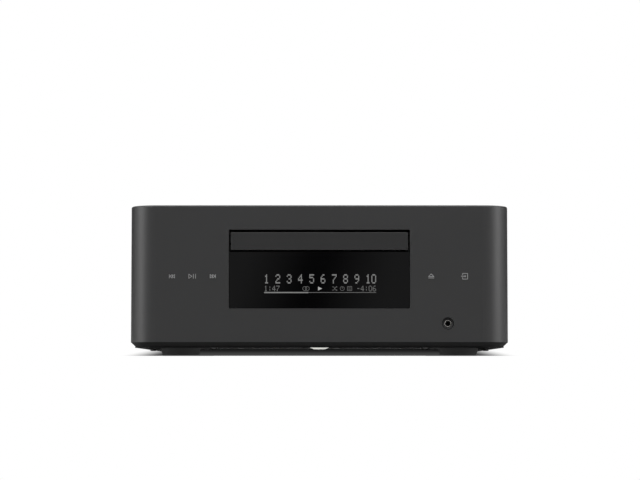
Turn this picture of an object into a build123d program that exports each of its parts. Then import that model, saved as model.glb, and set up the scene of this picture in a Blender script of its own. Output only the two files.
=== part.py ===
from build123d import *

import os
from math import acos, cos, pi, radians, sin, tan

# Compact disc receiver: a one-box hi-fi with a front disc tray, touch keys and rear terminals.
# Millimetres, +Z up, the front faces -Y, the origin is on the table under the middle of the set.

os.makedirs("parts", exist_ok=True)

# Cabinet
width = 280.0
height = 111.0
cabinet_depth = 280.0
terminal_reach = 23.0
corner_radius = 20.0
edge_rounding = 1.3
wall = 3.0
wrap_length = 42.0
seam = 0.3
steel = 1.2
lid_recess = 0.4
top_plate_thickness = 3.0
top_plate_rounding = 0.5
lid_ledge_depth = 4.0
lid_ledge_height = 3.0
lid_tab_width = 14.0
lid_tab_height = 10.0
lid_tab_x = 50.0

# Clearances
running_gap = 0.3
fit_gap = 0.05
overrun = 2.0

# Skirt, underside and feet
foot_height = 6.2
skirt_height = 4.0
skirt_lip = 1.1
skirt_inset = 3.1
skirt_floor = 2.0
skirt_rim = 6.0
skirt_ledge = 16.0
flange_height = 9.0
vent_length = 16.0
vent_width = 3.0
vent_pitch_x = 9.0
vent_pitch_y = 22.0
middle_vents_depth = 99.5
middle_vent_columns = 9
middle_vent_rows = 3
side_vents_depth = 137.5
side_vents_margin = 20.6
side_vent_rows = 5
foot_radius = 15.0
foot_base_radius = 13.5
foot_recess_radius = 5.0
foot_recess_depth = 2.6
foot_side_inset = 36.0
foot_front_inset = 36.5
foot_rear_inset = 38.5

# Screws and lugs
screw_head_radius = 2.8
screw_head_height = 1.6
screw_shank_radius = 1.5
screw_hole_radius = 1.7
screw_length = 9.0
lug_size = 12.0
lug_height = 11.0
lug_hole_depth = 9.0
front_lug_x = 78.0
side_lug_y = 60.0
rear_flange_depth = 10.0
rear_flange_x = 62.0
boss_size = 8.0
boss_low_z = 34.0
boss_top_inset = 27.0

# Window opening, tray door and display
window_width = 133.4
window_height = 58.1
window_top_margin = 18.1
window_corner = 0.8
window_recess = 0.6
door_gap = 1.5
door_top_gap = 1.9
door_height = 13.1
door_thickness = 4.0
door_recess = 0.4
door_rounding = 0.4
frame_margin = 5.0
frame_thickness = 3.0
slot_drop = 1.3
display_mid_rise = 18.2
module_width = 92.0
module_height = 22.0
display_board_gap = 4.7
display_board_side_inset = 2.7
display_board_drop = 1.8
display_board_door_gap = 5.9
display_boss_radius = 3.0
display_boss_inset = 4.0

# Touch boards
touch_window_gap = 7.3
touch_side_inset = 23.0
touch_rise = 11.2
touch_height = 24.0
board_thickness = 1.6

# Headphone jack
jack_side_inset = 45.6
jack_z = 23.8
jack_bore_radius = 1.8
jack_nose_radius = 2.5
jack_nose_recess = 0.9
jack_body_width = 9.0
jack_body_height = 8.0
jack_body_length = 14.0
jack_bore_length = 15.0
jack_post_radius = 3.5
ring_radius = 4.5
ring_recess = 0.3
ring_dish_radius = 4.0
ring_dish_depth = 1.0
ring_flange_radius = 6.0
ring_flange_thickness = 1.2
ring_fit = 0.1

# Indicator lens under the front lip
lens_width = 14.0
lens_hang = 1.7
lens_depth = 4.0
lens_set_back = 0.6
lens_flange_width = 19.0
lens_flange_thickness = 1.5
lens_fit = 0.15

# Disc tray
tray_lift = 2.1
tray_door_inset = 1.2
tray_thickness = 7.0
tray_rear_depth = 176.5
disc_depth = 71.5
disc_recess_radius = 60.4
disc_recess_depth = 3.2
small_recess_radius = 40.5
small_recess_depth = 3.8
tray_slot_width = 30.0
rail_thickness = 2.0
rail_lift = 2.0
rail_set_back = 7.0
rack_depth = 2.4
rack_inset = 12.0
rack_back = 4.0
rack_end_inset = 3.0

# Gears and belt
gear_depth = 22.5
tooth_module = 1.2
pressure_angle = radians(20)
addendum_share = 0.8
dedendum_share = 1.1
tooth_thickness_share = 0.46
flank_steps = 4
tray_gear_teeth = 20
pinion_teeth = 12
gear_thickness = 1.9
gear_post_radius = 2.0
gear_boss_radius = 4.0
pulley_drop = 3.6
pulley_thickness = 2.8
pulley_flange = 0.6
pulley_radius = 14.0
groove_depth = 0.6
motor_pulley_radius = 4.0
belt_size = 1.2
loading_motor_x = -40.0
loading_motor_radius = 7.5
loading_motor_length = 16.0
motor_shaft_radius = 1.0
motor_hole_radius = 1.6

# Loader frame and clamp
loader_front_depth = 10.0
loader_rear_depth = 196.5
loader_wall = 6.0
loader_side_gap = 0.6
loader_floor_drop = 7.0
loader_floor_thickness = 3.0
loader_depth_below = 32.0
loader_rise = 3.0
beam_back_depth = 32.5
beam_thickness = 2.0
beam_height = 21.0
beam_ledge_width = 96.0
beam_ledge_depth = 3.0
beam_ledge_thickness = 2.2
cross_thickness = 6.0
cross_drop = 2.0
cross_height = 18.0
leg_length = 12.0
leg_front_depth = 27.5
leg_rear_depth = 186.5
pad_reach = 10.0
pad_thickness = 3.0
bridge_thickness = 3.0
bridge_foot = 2.5
bridge_depth = 24.0
bridge_hole_radius = 10.0
puck_gap = 1.2
puck_flange_radius = 14.0
puck_flange_thickness = 2.0
puck_neck_radius = 9.0
puck_cap_radius = 13.0
puck_cap_thickness = 1.8
puck_recess_radius = 8.2
puck_recess_depth = 1.0

# Lift frame, cam slider and pickup base
hinge_depth = 171.5
hinge_pin_radius = 2.0
lift_angle = radians(5)
lift_half_width = 50.0
lift_front_depth = 39.5
lift_tail = 4.0
lift_thickness = 4.0
lift_opening_half_width = 38.0
lift_border = 12.0
lift_rear_border = 10.0
cam_pin_radius = 1.5
cam_pin_x = 11.0
cam_pin_clear = 0.6
cam_travel = 22.0
cam_slot_gap = 0.3
cam_thickness = 2.2
cam_width = 40.0
base_drop = 5.0
base_thickness = 2.0
base_half_width = 46.0
base_front_inset = 4.0
base_rear_inset = 4.0
grommet_height = 3.0
grommet_radius = 3.2
grommet_waist_radius = 2.3
grommet_x = 42.0
grommet_inset = 7.0
grommet_rear_inset = 8.0

# Spindle and turntable
spindle_motor_radius = 11.0
spindle_motor_height = 7.0
spindle_boss_radius = 4.5
spindle_hole_radius = 5.0
turntable_radius = 13.0
turntable_thickness = 2.2
turntable_seat_lift = 6.2
turntable_boss_radius = 4.0
turntable_boss_gap = 1.0
cone_base_radius = 7.4
cone_top_radius = 6.8
cone_height = 1.5
spindle_recess = 0.5

# Pickup sled, rods and screw
sled_half_width = 24.0
sled_front_depth = 89.5
sled_length = 28.0
sled_travel = 34.0
sled_drop = 3.0
sled_thickness = 5.0
sled_end_gap = 2.0
sled_window_right = 34.0
sled_window_left = 26.0
rod_x_offset = 20.0
rod_radius = 1.5
rod_drop = 3.0
bush_half_width = 3.0
bush_depth = 2.5
block_length = 4.0
block_depth = 8.0
screw_x = 30.0
screw_drop = 6.0
sled_motor_radius = 5.9
sled_motor_length = 22.0
sled_motor_gap = 2.0
nut_length = 10.0
nut_height = 3.0
pickup_set_back = 6.0
pickup_half_width = 9.5
pickup_half_length = 5.4
pickup_rear = 9.0
pickup_height = 5.5
lens_ring_radius = 3.8
lens_ring_height = 0.8
objective_radius = 3.0
objective_rise = 1.2

# Boards and what stands on them
standoff_height = 6.0
standoff_radius = 3.5
board_hole_inset = 4.5
main_board_half_width = 62.0
main_board_length = 116.0
main_board_rear_inset = 9.3
side_board_gap = 9.4
side_board_inset = 16.0
power_board_depth = 55.5
power_board_length = 162.0
amplifier_board_length = 160.0
amplifier_board_rear_inset = 27.3
chip_height = 2.5
processor_size = 26.0
processor_rear_inset = 72.0
module_shield_size = 30.0
module_shield_height = 4.0
module_shield_x = 36.0
amplifier_chip_size = 20.0
amplifier_chip_rear_inset = 100.0
amplifier_chip_pitch = 32.0
coil_size = 12.0
coil_height = 14.0
coil_rear_inset = 24.0
coil_pitch = 18.0
capacitor_radius = 9.0
capacitor_height = 30.0
capacitor_rear_inset = 24.0
capacitor_pitch = 20.0
filter_length = 18.0
filter_width = 14.0
filter_height = 16.0
filter_front_inset = 22.0
transformer_front_inset = 76.0
transformer_length = 36.0
transformer_width = 30.0
transformer_height = 26.0
transformer_core_thickness = 7.0
transformer_winding_radius = 10.0
sink_width = 38.0
sink_base = 3.0
sink_height = 22.0
fin_thickness = 1.6
fin_count = 8

# Rear panel and its sockets
rear_vent_length = 22.0
rear_vent_width = 3.0
rear_vent_pitch = 7.0
rear_vent_columns = 4
rear_vent_rows = 3
rear_vent_column_pitch = 30.0
rear_vents_top_inset = 27.0
speaker_side_inset = 40.0
speaker_z = 50.0
post_pitch = 19.0
speaker_plate_size = 46.0
speaker_plate_thickness = 2.5
speaker_body_size = 39.0
speaker_body_depth = 12.0
post_radius = 3.0
post_collar_radius = 5.4
post_collar_length = 2.0
post_tail = 3.0
banana_radius = 2.0
banana_length = 16.0
cap_radius = 6.0
cap_mouth_radius = 2.6
cap_gap = 0.5
cap_end_wall = 0.7
cap_flutes = 12
cap_flute_radius = 0.8
phono_x = -38.0
phono_low_z = 26.0
phono_pitch_x = 14.0
phono_pitch_z = 18.0
phono_columns = 3
phono_body_depth = 20.0
phono_body_margin = 6.0
phono_radius = 4.15
phono_bore_radius = 1.6
phono_reach = 10.0
phono_bore_depth = 9.0
socket_hole_gap = 0.5
socket_collar = 0.25
optical_x = -2.0
optical_size = 10.0
optical_reach = 1.5
optical_recess = 7.0
optical_recess_depth = 3.0
optical_depth = 20.0
network_x = 18.0
network_width = 16.0
network_height = 13.5
network_depth = 21.0
network_reach = 1.0
network_mouth_width = 11.8
network_mouth_height = 8.0
network_mouth_lift = 2.0
network_mouth_depth = 15.0
usb_x = 39.0
usb_width = 14.6
usb_height = 7.2
usb_depth = 16.0
usb_reach = 1.0
usb_mouth_width = 12.6
usb_mouth_height = 5.2
usb_mouth_depth = 12.0
usb_tongue_width = 11.0
usb_tongue_height = 1.8
usb_tongue_recess = 1.5
aerial_x = 54.0
aerial_body = 12.0
aerial_body_depth = 15.0
aerial_radius = 4.7
aerial_reach = 9.0
aerial_bore_radius = 1.0
aerial_bore_depth = 8.0
inlet_side_inset = 40.0
inlet_z = 42.0
inlet_flange_width = 32.0
inlet_flange_height = 24.0
inlet_flange_thickness = 2.0
inlet_body_width = 27.0
inlet_body_height = 19.0
inlet_body_depth = 22.0
inlet_wall = 1.5
inlet_mouth_depth = 17.5
inlet_pin_width = 2.0
inlet_pin_height = 4.0
inlet_pin_length = 12.0
inlet_pin_pitch = 7.0
inlet_pin_offset = 2.0

# Places worked out from the sizes
front_y = -(cabinet_depth + terminal_reach) / 2
back_y = front_y + cabinet_depth
inner_front = front_y + wall
inner_side = width / 2 - wall
panel_inside = back_y - steel
skirt_top = foot_height + skirt_height
chassis_z = foot_height + skirt_floor
floor_z = chassis_z + steel
rim_edge = skirt_rim + seam
lid_z = height - lid_recess - top_plate_thickness - steel
boss_high_z = height - boss_top_inset
window_top = height - window_top_margin
window_sill = window_top - window_height
door_width = window_width - 2 * door_gap
door_top = window_top - door_top_gap
door_bottom = door_top - door_height
door_y = front_y + door_recess
door_back = door_y + door_thickness
display_mid_z = window_sill + display_mid_rise
display_board_y = inner_front + display_board_gap
display_board_width = window_width - 2 * display_board_side_inset
display_board_bottom = window_sill - display_board_drop
display_board_top = door_bottom - display_board_door_gap
touch_inner_x = window_width / 2 + touch_window_gap
touch_outer_x = width / 2 - touch_side_inset
touch_low_z = window_sill + touch_rise
lens_y = front_y + skirt_inset + lens_set_back
ring_back = inner_front + ring_flange_thickness
jack_body_y = ring_back + running_gap
jack_bottom = jack_z - jack_body_height / 2
jack_x = width / 2 - jack_side_inset

disc_y = front_y + disc_depth
tray_width = door_width - 2 * tray_door_inset
rail_reach = (window_width - tray_width) / 2 - running_gap
tray_rear = front_y + tray_rear_depth
tray_z = door_bottom + tray_lift
tray_top = tray_z + tray_thickness
rail_z = tray_z + rail_lift
loader_front = front_y + loader_front_depth
loader_rear = front_y + loader_rear_depth
leg_front_y = front_y + leg_front_depth
leg_rear_y = front_y + leg_rear_depth
loader_in = tray_width / 2 + loader_side_gap
loader_out = loader_in + loader_wall
loader_floor = tray_z - loader_floor_drop
loader_bottom = tray_z - loader_depth_below
loader_top = tray_top + loader_rise
beam_back = front_y + beam_back_depth
beam_bottom = loader_floor - beam_height
bridge_z = loader_top + bridge_foot
bridge_top = bridge_z + bridge_thickness
puck_z = tray_top + puck_gap
puck_cap_z = bridge_top + running_gap

tooth_pitch = pi * tooth_module
tray_gear_radius = tray_gear_teeth * tooth_module / 2
pinion_radius = pinion_teeth * tooth_module / 2
gear_y = front_y + gear_depth
rack_line_x = tray_width / 2 - rack_inset
tray_gear_x = rack_line_x - tray_gear_radius
pulley_gear_x = tray_gear_x - tray_gear_radius - pinion_radius
gear_top = tray_z - running_gap
pulley_top = tray_z - pulley_drop
pulley_bottom = pulley_top - pulley_thickness
pulley_middle = (pulley_top + pulley_bottom) / 2

base_top = tray_z - base_drop
base_z = base_top - base_thickness
lift_top = base_z - grommet_height
lift_z = lift_top - lift_thickness
lift_front = front_y + lift_front_depth
hinge_y = front_y + hinge_depth
hinge_z = lift_z + lift_thickness / 2
lift_rear = hinge_y + lift_tail
base_front = lift_front + base_front_inset
base_rear = lift_rear - base_rear_inset
cam_y = beam_back + running_gap
cam_lever = hinge_y - cam_y
cam_drop = cam_lever * sin(lift_angle)
cam_bottom = beam_bottom
cam_top = loader_floor
sled_front = front_y + sled_front_depth
sled_rear = sled_front + sled_length
pickup_y = sled_front + pickup_set_back
window_front = sled_front - sled_end_gap
window_rear = sled_rear + sled_travel + sled_end_gap
rod_z_level = base_z - rod_drop
screw_z = base_z - screw_drop
sled_z = base_top - sled_drop
sled_top = sled_z + sled_thickness
pickup_top = sled_top + pickup_height
turntable_z = tray_z + turntable_seat_lift - turntable_thickness
turntable_top = turntable_z + turntable_thickness

board_z = floor_z + standoff_height
board_top = board_z + board_thickness
side_board_outer = width / 2 - side_board_inset
side_board_inner = loader_out + side_board_gap
side_board_middle = (side_board_outer + side_board_inner) / 2
main_board_rear = panel_inside - main_board_rear_inset
main_board_front = main_board_rear - main_board_length
processor_y = main_board_rear - processor_rear_inset
power_board_front = front_y + power_board_depth
power_board_rear = power_board_front + power_board_length
capacitor_y = power_board_rear - capacitor_rear_inset
filter_y = power_board_front + filter_front_inset
transformer_y = power_board_front + transformer_front_inset
amplifier_board_rear = panel_inside - amplifier_board_rear_inset
amplifier_board_front = amplifier_board_rear - amplifier_board_length
amplifier_chip_y = amplifier_board_rear - amplifier_chip_rear_inset
coil_y = amplifier_board_rear - coil_rear_inset
foot_x = width / 2 - foot_side_inset
foot_front_y = front_y + foot_front_inset
foot_rear_y = back_y - foot_rear_inset
middle_vents_y = front_y + middle_vents_depth
side_vents_y = front_y + side_vents_depth
side_vents_inner = loader_out + pad_reach
side_vents_outer = width / 2 - side_vents_margin
side_vents_x = (side_vents_inner + side_vents_outer) / 2
side_vent_columns = int((side_vents_outer - side_vents_inner) / vent_pitch_x)
front_lug_y = inner_front + lug_size * 2 / 3
side_lug_x = inner_side - lug_size * 2 / 3
rear_flange_y = panel_inside - rear_flange_depth / 2
boss_x = inner_side - boss_size / 2
lid_tab_hole_z = lid_z - lid_tab_height / 2
leg_hole_x = loader_out + pad_reach / 2
jack_post_y = jack_body_y + jack_body_length / 2
rear_vents_z = height - rear_vents_top_inset
speaker_x = width / 2 - speaker_side_inset
inlet_x = inlet_side_inset - width / 2
post_places = [
    (speaker_x + across * post_pitch / 2, speaker_z + up * post_pitch / 2)
    for up in (1, -1)
    for across in (1, -1)
]
cap_y = back_y + speaker_plate_thickness + post_collar_length + cap_gap
cap_end = back_y + terminal_reach
phono_places = [
    (phono_x + column * phono_pitch_x, phono_low_z + row * phono_pitch_z)
    for column in range(-(phono_columns // 2), phono_columns // 2 + 1)
    for row in (0, 1)
]
aerial_z = board_top + aerial_body / 2


# Small helpers for blocks, rods and planes
def block(x, y, z, mode=Mode.ADD):
    """A rectangular block between pairs of coordinates."""
    with Locations(((x[0] + x[1]) / 2, (y[0] + y[1]) / 2, (z[0] + z[1]) / 2)):
        Box(x[1] - x[0], y[1] - y[0], z[1] - z[0], mode=mode)


def rod_up(x, y, span, radius, mode=Mode.ADD):
    """A round rod along Z."""
    with Locations((x, y, (span[0] + span[1]) / 2)):
        Cylinder(radius, span[1] - span[0], mode=mode)


def rod_back(x, z, span, radius, mode=Mode.ADD):
    """A round rod along Y."""
    with Locations((x, (span[0] + span[1]) / 2, z)):
        Cylinder(radius, span[1] - span[0], rotation=(90, 0, 0), mode=mode)


def rod_across(y, z, span, radius, mode=Mode.ADD):
    """A round rod along X."""
    with Locations(((span[0] + span[1]) / 2, y, z)):
        Cylinder(radius, span[1] - span[0], rotation=(0, 90, 0), mode=mode)


def on_side(side, near, far):
    """The X range between two distances from the middle, on the right (1) or the left (-1)."""
    return (near, far) if side > 0 else (-far, -near)


def around(middle, size):
    """The range of a size laid evenly about its middle."""
    return (middle - size / 2, middle + size / 2)


def upright(y):
    """A plane facing the front at a depth, on which sketches are drawn in X and Z."""
    return Plane.XZ.offset(-y)


def plan_outline(inset, rear_inset=0.0):
    """Plan of the cabinet drawn in from its outside: round front corners and a square back."""
    depth = cabinet_depth - inset - rear_inset
    with Locations((0, front_y + inset + depth / 2)):
        Rectangle(width - 2 * inset, depth)
    fillet(vertices().group_by(Axis.Y)[0], corner_radius - inset)


def involute(angle):
    return tan(angle) - angle


def gear_outline(teeth, phase):
    """A spur gear with involute flanks, a tooth at the phase angle, thinned for running clearance."""
    pitch_radius = teeth * tooth_module / 2
    base_radius = pitch_radius * cos(pressure_angle)
    tip_radius = pitch_radius + addendum_share * tooth_module
    root_radius = pitch_radius - dedendum_share * tooth_module
    half_pitch_angle = tooth_thickness_share * pi / teeth
    start_radius = max(base_radius, root_radius)
    flank = [(root_radius, half_pitch_angle + involute(pressure_angle))]
    for step in range(flank_steps + 1):
        radius = start_radius + (tip_radius - start_radius) * step / flank_steps
        here = involute(acos(min(1, base_radius / radius)))
        flank.append((radius, half_pitch_angle + involute(pressure_angle) - here))
    points = []
    for tooth in range(teeth):
        middle = phase + 2 * pi * tooth / teeth
        rising = [(radius, middle - half) for radius, half in flank]
        falling = [(radius, middle + half) for radius, half in reversed(flank)]
        points += [(radius * cos(angle), radius * sin(angle)) for radius, angle in rising + falling]
    return points


def rack_outline():
    """The tray's toothed rack in plan, teeth towards the middle, a gap opposite the tray gear."""
    half_root = tooth_thickness_share * tooth_pitch / 2 + dedendum_share * tooth_module * tan(pressure_angle)
    half_tip = tooth_thickness_share * tooth_pitch / 2 - addendum_share * tooth_module * tan(pressure_angle)
    root_x = rack_line_x + dedendum_share * tooth_module
    tip_x = rack_line_x - addendum_share * tooth_module
    back_x = rack_line_x + rack_back
    start = door_back + rack_end_inset
    end = tray_rear - rack_end_inset
    points = [(back_x, end), (back_x, start), (root_x, start)]
    first = int((start - gear_y) / tooth_pitch)
    last = int((end - gear_y) / tooth_pitch)
    for tooth in range(first, last):
        y = gear_y + (tooth + 1 / 2) * tooth_pitch
        points += [(root_x, y - half_root), (tip_x, y - half_tip)]
        points += [(tip_x, y + half_tip), (root_x, y + half_root)]
    return points + [(root_x, end)]


def screw_from_below(x, y, seat):
    """A pan head screw that goes up from its seat."""
    rod_up(x, y, (seat - screw_head_height, seat), screw_head_radius)
    rod_up(x, y, (seat, seat + screw_length), screw_shank_radius)


def screw_from_above(x, y, seat):
    rod_up(x, y, (seat, seat + screw_head_height), screw_head_radius)
    rod_up(x, y, (chassis_z, seat), screw_shank_radius)


def screw_from_behind(x, z):
    rod_back(x, z, (back_y, back_y + screw_head_height), screw_head_radius)
    rod_back(x, z, (back_y - lug_hole_depth, back_y), screw_shank_radius)


# The outer wrap of the cabinet, from which the fascia and the side panels are cut
with BuildPart() as cabinet_wrap:
    with BuildSketch(Plane.XY.offset(skirt_top)):
        plan_outline(0)
    extrude(amount=height - skirt_top)
    fillet(cabinet_wrap.faces().sort_by(Axis.Z)[-1].edges(), edge_rounding)
    with BuildSketch(Plane.XY.offset(skirt_top)):
        plan_outline(wall, -overrun)
    extrude(amount=height - skirt_top, mode=Mode.SUBTRACT)

# Cabinet shells
with BuildPart() as front_fascia:
    add(cabinet_wrap.part)
    block((-width, width), (front_y + wrap_length, back_y + overrun), (0, height + overrun), Mode.SUBTRACT)
    with BuildSketch(upright(front_y - overrun)):
        with Locations((0, window_sill + window_height / 2)):
            RectangleRounded(window_width, window_height, window_corner)
    extrude(amount=-(wall + 2 * overrun), mode=Mode.SUBTRACT)
    through_wall = (front_y - overrun, inner_front + overrun)
    rod_back(jack_x, jack_z, through_wall, ring_radius + ring_fit, Mode.SUBTRACT)
    flat_half_width = width / 2 - corner_radius
    block((-flat_half_width, flat_half_width), (inner_front, inner_front + lid_ledge_depth),
          (lid_z - lid_ledge_height, lid_z))
    for side in (-1, 1):
        lug_x = around(side * front_lug_x, lug_size)
        block(lug_x, (inner_front, inner_front + lug_size), (skirt_top, floor_z + lug_height))
        block(lug_x, (front_y + rim_edge, inner_front + lug_size), (floor_z, skirt_top))
        rod_up(side * front_lug_x, front_lug_y, (floor_z, floor_z + lug_hole_depth),
               screw_shank_radius + fit_gap, Mode.SUBTRACT)


def side_panel(side):
    """One flank of the cabinet, from the fascia's edge to the back."""
    with BuildPart() as panel:
        add(cabinet_wrap.part)
        panel_front = front_y + wrap_length + seam
        all_up = (0, height + overrun)
        block((-width, width), (front_y - overrun, panel_front), all_up, Mode.SUBTRACT)
        block(on_side(-side, 0, width), (front_y - overrun, back_y + overrun), all_up, Mode.SUBTRACT)
        block(on_side(side, inner_side - lid_ledge_depth, inner_side),
              (panel_front + corner_radius, back_y - corner_radius), (lid_z - lid_ledge_height, lid_z))
        for lug_y in (-side_lug_y, side_lug_y):
            lug_span = around(lug_y, lug_size)
            lug_inner = inner_side - lug_size
            block(on_side(side, lug_inner, inner_side), lug_span, (skirt_top, floor_z + lug_height))
            block(on_side(side, lug_inner, width / 2 - rim_edge), lug_span, (floor_z, skirt_top))
            rod_up(side * side_lug_x, lug_y, (floor_z, floor_z + lug_hole_depth),
                   screw_shank_radius + fit_gap, Mode.SUBTRACT)
        for boss_z in (boss_low_z, boss_high_z):
            block(on_side(side, inner_side - boss_size, inner_side), (panel_inside - boss_size, panel_inside),
                  around(boss_z, boss_size))
            rod_back(side * boss_x, boss_z, (panel_inside - boss_size - overrun, panel_inside),
                     screw_shank_radius + fit_gap, Mode.SUBTRACT)
    return panel


side_panel_left = side_panel(-1)
side_panel_right = side_panel(1)

with BuildPart() as top_cover:
    with BuildSketch(Plane.XY.offset(lid_z)):
        plan_outline(wall + seam)
    extrude(amount=steel)
    for tab_x in (-lid_tab_x, lid_tab_x):
        block(around(tab_x, lid_tab_width), (panel_inside - steel, panel_inside),
              (lid_z - lid_tab_height, lid_z))
        rod_back(tab_x, lid_tab_hole_z, (panel_inside - overrun - steel, panel_inside + overrun),
                 screw_shank_radius + fit_gap, Mode.SUBTRACT)

with BuildPart() as top_plate:
    with BuildSketch(Plane.XY.offset(lid_z + steel)):
        plan_outline(wall + seam)
    extrude(amount=top_plate_thickness)
    fillet(top_plate.faces().sort_by(Axis.Z)[-1].edges(), top_plate_rounding)

# Places where screws hold the underside together
underside_screws = [(side * front_lug_x, front_lug_y) for side in (-1, 1)]
underside_screws += [(side * side_lug_x, y) for side in (-1, 1) for y in (-side_lug_y, side_lug_y)]
underside_screws += [(side * rear_flange_x, rear_flange_y) for side in (-1, 1)]
foot_places = {
    "foot_front_left": (-foot_x, foot_front_y),
    "foot_front_right": (foot_x, foot_front_y),
    "foot_rear_left": (-foot_x, foot_rear_y),
    "foot_rear_right": (foot_x, foot_rear_y),
}
leg_screws = [(side * leg_hole_x, y) for side in (-1, 1) for y in (leg_front_y, leg_rear_y)]
rear_screws = [(side * boss_x, z) for side in (-1, 1) for z in (boss_low_z, boss_high_z)]
rear_screws += [(tab_x, lid_tab_hole_z) for tab_x in (-lid_tab_x, lid_tab_x)]

with BuildPart() as base_skirt:
    with BuildSketch(Plane.XY.offset(foot_height)):
        plan_outline(skirt_inset)
    extrude(amount=skirt_lip)
    with BuildSketch(Plane.XY.offset(foot_height + skirt_lip)):
        plan_outline(skirt_inset)
    with BuildSketch(Plane.XY.offset(skirt_top)):
        plan_outline(0)
    loft(ruled=True)
    with BuildSketch(Plane.XY.offset(chassis_z)):
        plan_outline(skirt_rim, -overrun)
    extrude(amount=skirt_height, mode=Mode.SUBTRACT)
    with BuildSketch(Plane.XY.offset(foot_height - overrun)):
        plan_outline(skirt_ledge, skirt_ledge)
    extrude(amount=skirt_height + 2 * overrun, mode=Mode.SUBTRACT)
    for x, y in underside_screws:
        rod_up(x, y, (foot_height - overrun, chassis_z + overrun), screw_hole_radius, Mode.SUBTRACT)
    block(around(0, lens_width + 2 * lens_fit), (lens_y - lens_fit, front_y + skirt_ledge),
          (foot_height - overrun, skirt_top + overrun), Mode.SUBTRACT)

# Board corners that stand on the chassis
board_fields = [
    ((-main_board_half_width, main_board_half_width), (main_board_front, main_board_rear)),
    ((-side_board_outer, -side_board_inner), (power_board_front, power_board_rear)),
    ((side_board_inner, side_board_outer), (amplifier_board_front, amplifier_board_rear)),
]

with BuildPart() as base_chassis:
    with BuildSketch(Plane.XY.offset(chassis_z)):
        plan_outline(rim_edge, 0)
        with Locations((0, middle_vents_y)):
            with GridLocations(vent_pitch_x, vent_pitch_y, middle_vent_columns, middle_vent_rows):
                SlotOverall(vent_length, vent_width, 90, mode=Mode.SUBTRACT)
        with Locations((-side_vents_x, side_vents_y), (side_vents_x, side_vents_y)):
            with GridLocations(vent_pitch_x, vent_pitch_y, side_vent_columns, side_vent_rows):
                SlotOverall(vent_length, vent_width, 90, mode=Mode.SUBTRACT)
    extrude(amount=steel)
    flange_x = width / 2 - rim_edge
    flange_z = (floor_z, floor_z + flange_height)
    for side in (-1, 1):
        flange_y = (front_y + corner_radius, panel_inside - seam)
        block(on_side(side, flange_x - steel, flange_x), flange_y, flange_z)
        for lug_y in (-side_lug_y, side_lug_y):
            block(on_side(side, flange_x - 2 * steel, flange_x + overrun), around(lug_y, lug_size + 2 * seam),
                  (floor_z, floor_z + 2 * flange_height), Mode.SUBTRACT)
    block((-flat_half_width, flat_half_width), (front_y + rim_edge, front_y + rim_edge + steel), flange_z)
    for middle, gap_width in ((-front_lug_x, lug_size), (front_lug_x, lug_size), (0, lens_flange_width)):
        block(around(middle, gap_width + 2 * seam), (front_y, front_y + rim_edge + 2 * steel),
              (floor_z, floor_z + 2 * flange_height), Mode.SUBTRACT)
    block(around(0, lens_width + 2 * seam), (front_y, lens_y + lens_depth + seam),
          (foot_height, skirt_top), Mode.SUBTRACT)
    for x, y in board_fields:
        for post_x in (x[0] + board_hole_inset, x[1] - board_hole_inset):
            for post_y in (y[0] + board_hole_inset, y[1] - board_hole_inset):
                rod_up(post_x, post_y, (floor_z, board_z), standoff_radius)
    rod_up(jack_x, jack_post_y, (floor_z, jack_bottom), jack_post_radius)
    for x, y in underside_screws + list(foot_places.values()) + leg_screws:
        rod_up(x, y, (foot_height, floor_z + overrun), screw_hole_radius, Mode.SUBTRACT)


def foot(x, y):
    """A round rubber foot with a recess for its screw."""
    with BuildPart() as one_foot:
        with Locations((x, y, 0)):
            Cone(foot_base_radius, foot_radius, foot_height, align=(Align.CENTER, Align.CENTER, Align.MIN))
        rod_up(x, y, (foot_height, chassis_z), foot_base_radius)
        rod_up(x, y, (0, foot_recess_depth), foot_recess_radius, Mode.SUBTRACT)
        rod_up(x, y, (0, chassis_z), screw_hole_radius, Mode.SUBTRACT)
    return one_foot


feet = {name: foot(x, y) for name, (x, y) in foot_places.items()}

with BuildPart() as case_screws:
    for x, y in underside_screws:
        screw_from_below(x, y, foot_height)
    for x, y in foot_places.values():
        rod_up(x, y, (foot_recess_depth - screw_head_height, foot_recess_depth), screw_head_radius)
        rod_up(x, y, (foot_recess_depth, floor_z + steel), screw_shank_radius)
    for x, y in leg_screws:
        screw_from_above(x, y, floor_z + pad_thickness)
    for x, z in rear_screws:
        screw_from_behind(x, z)

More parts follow.
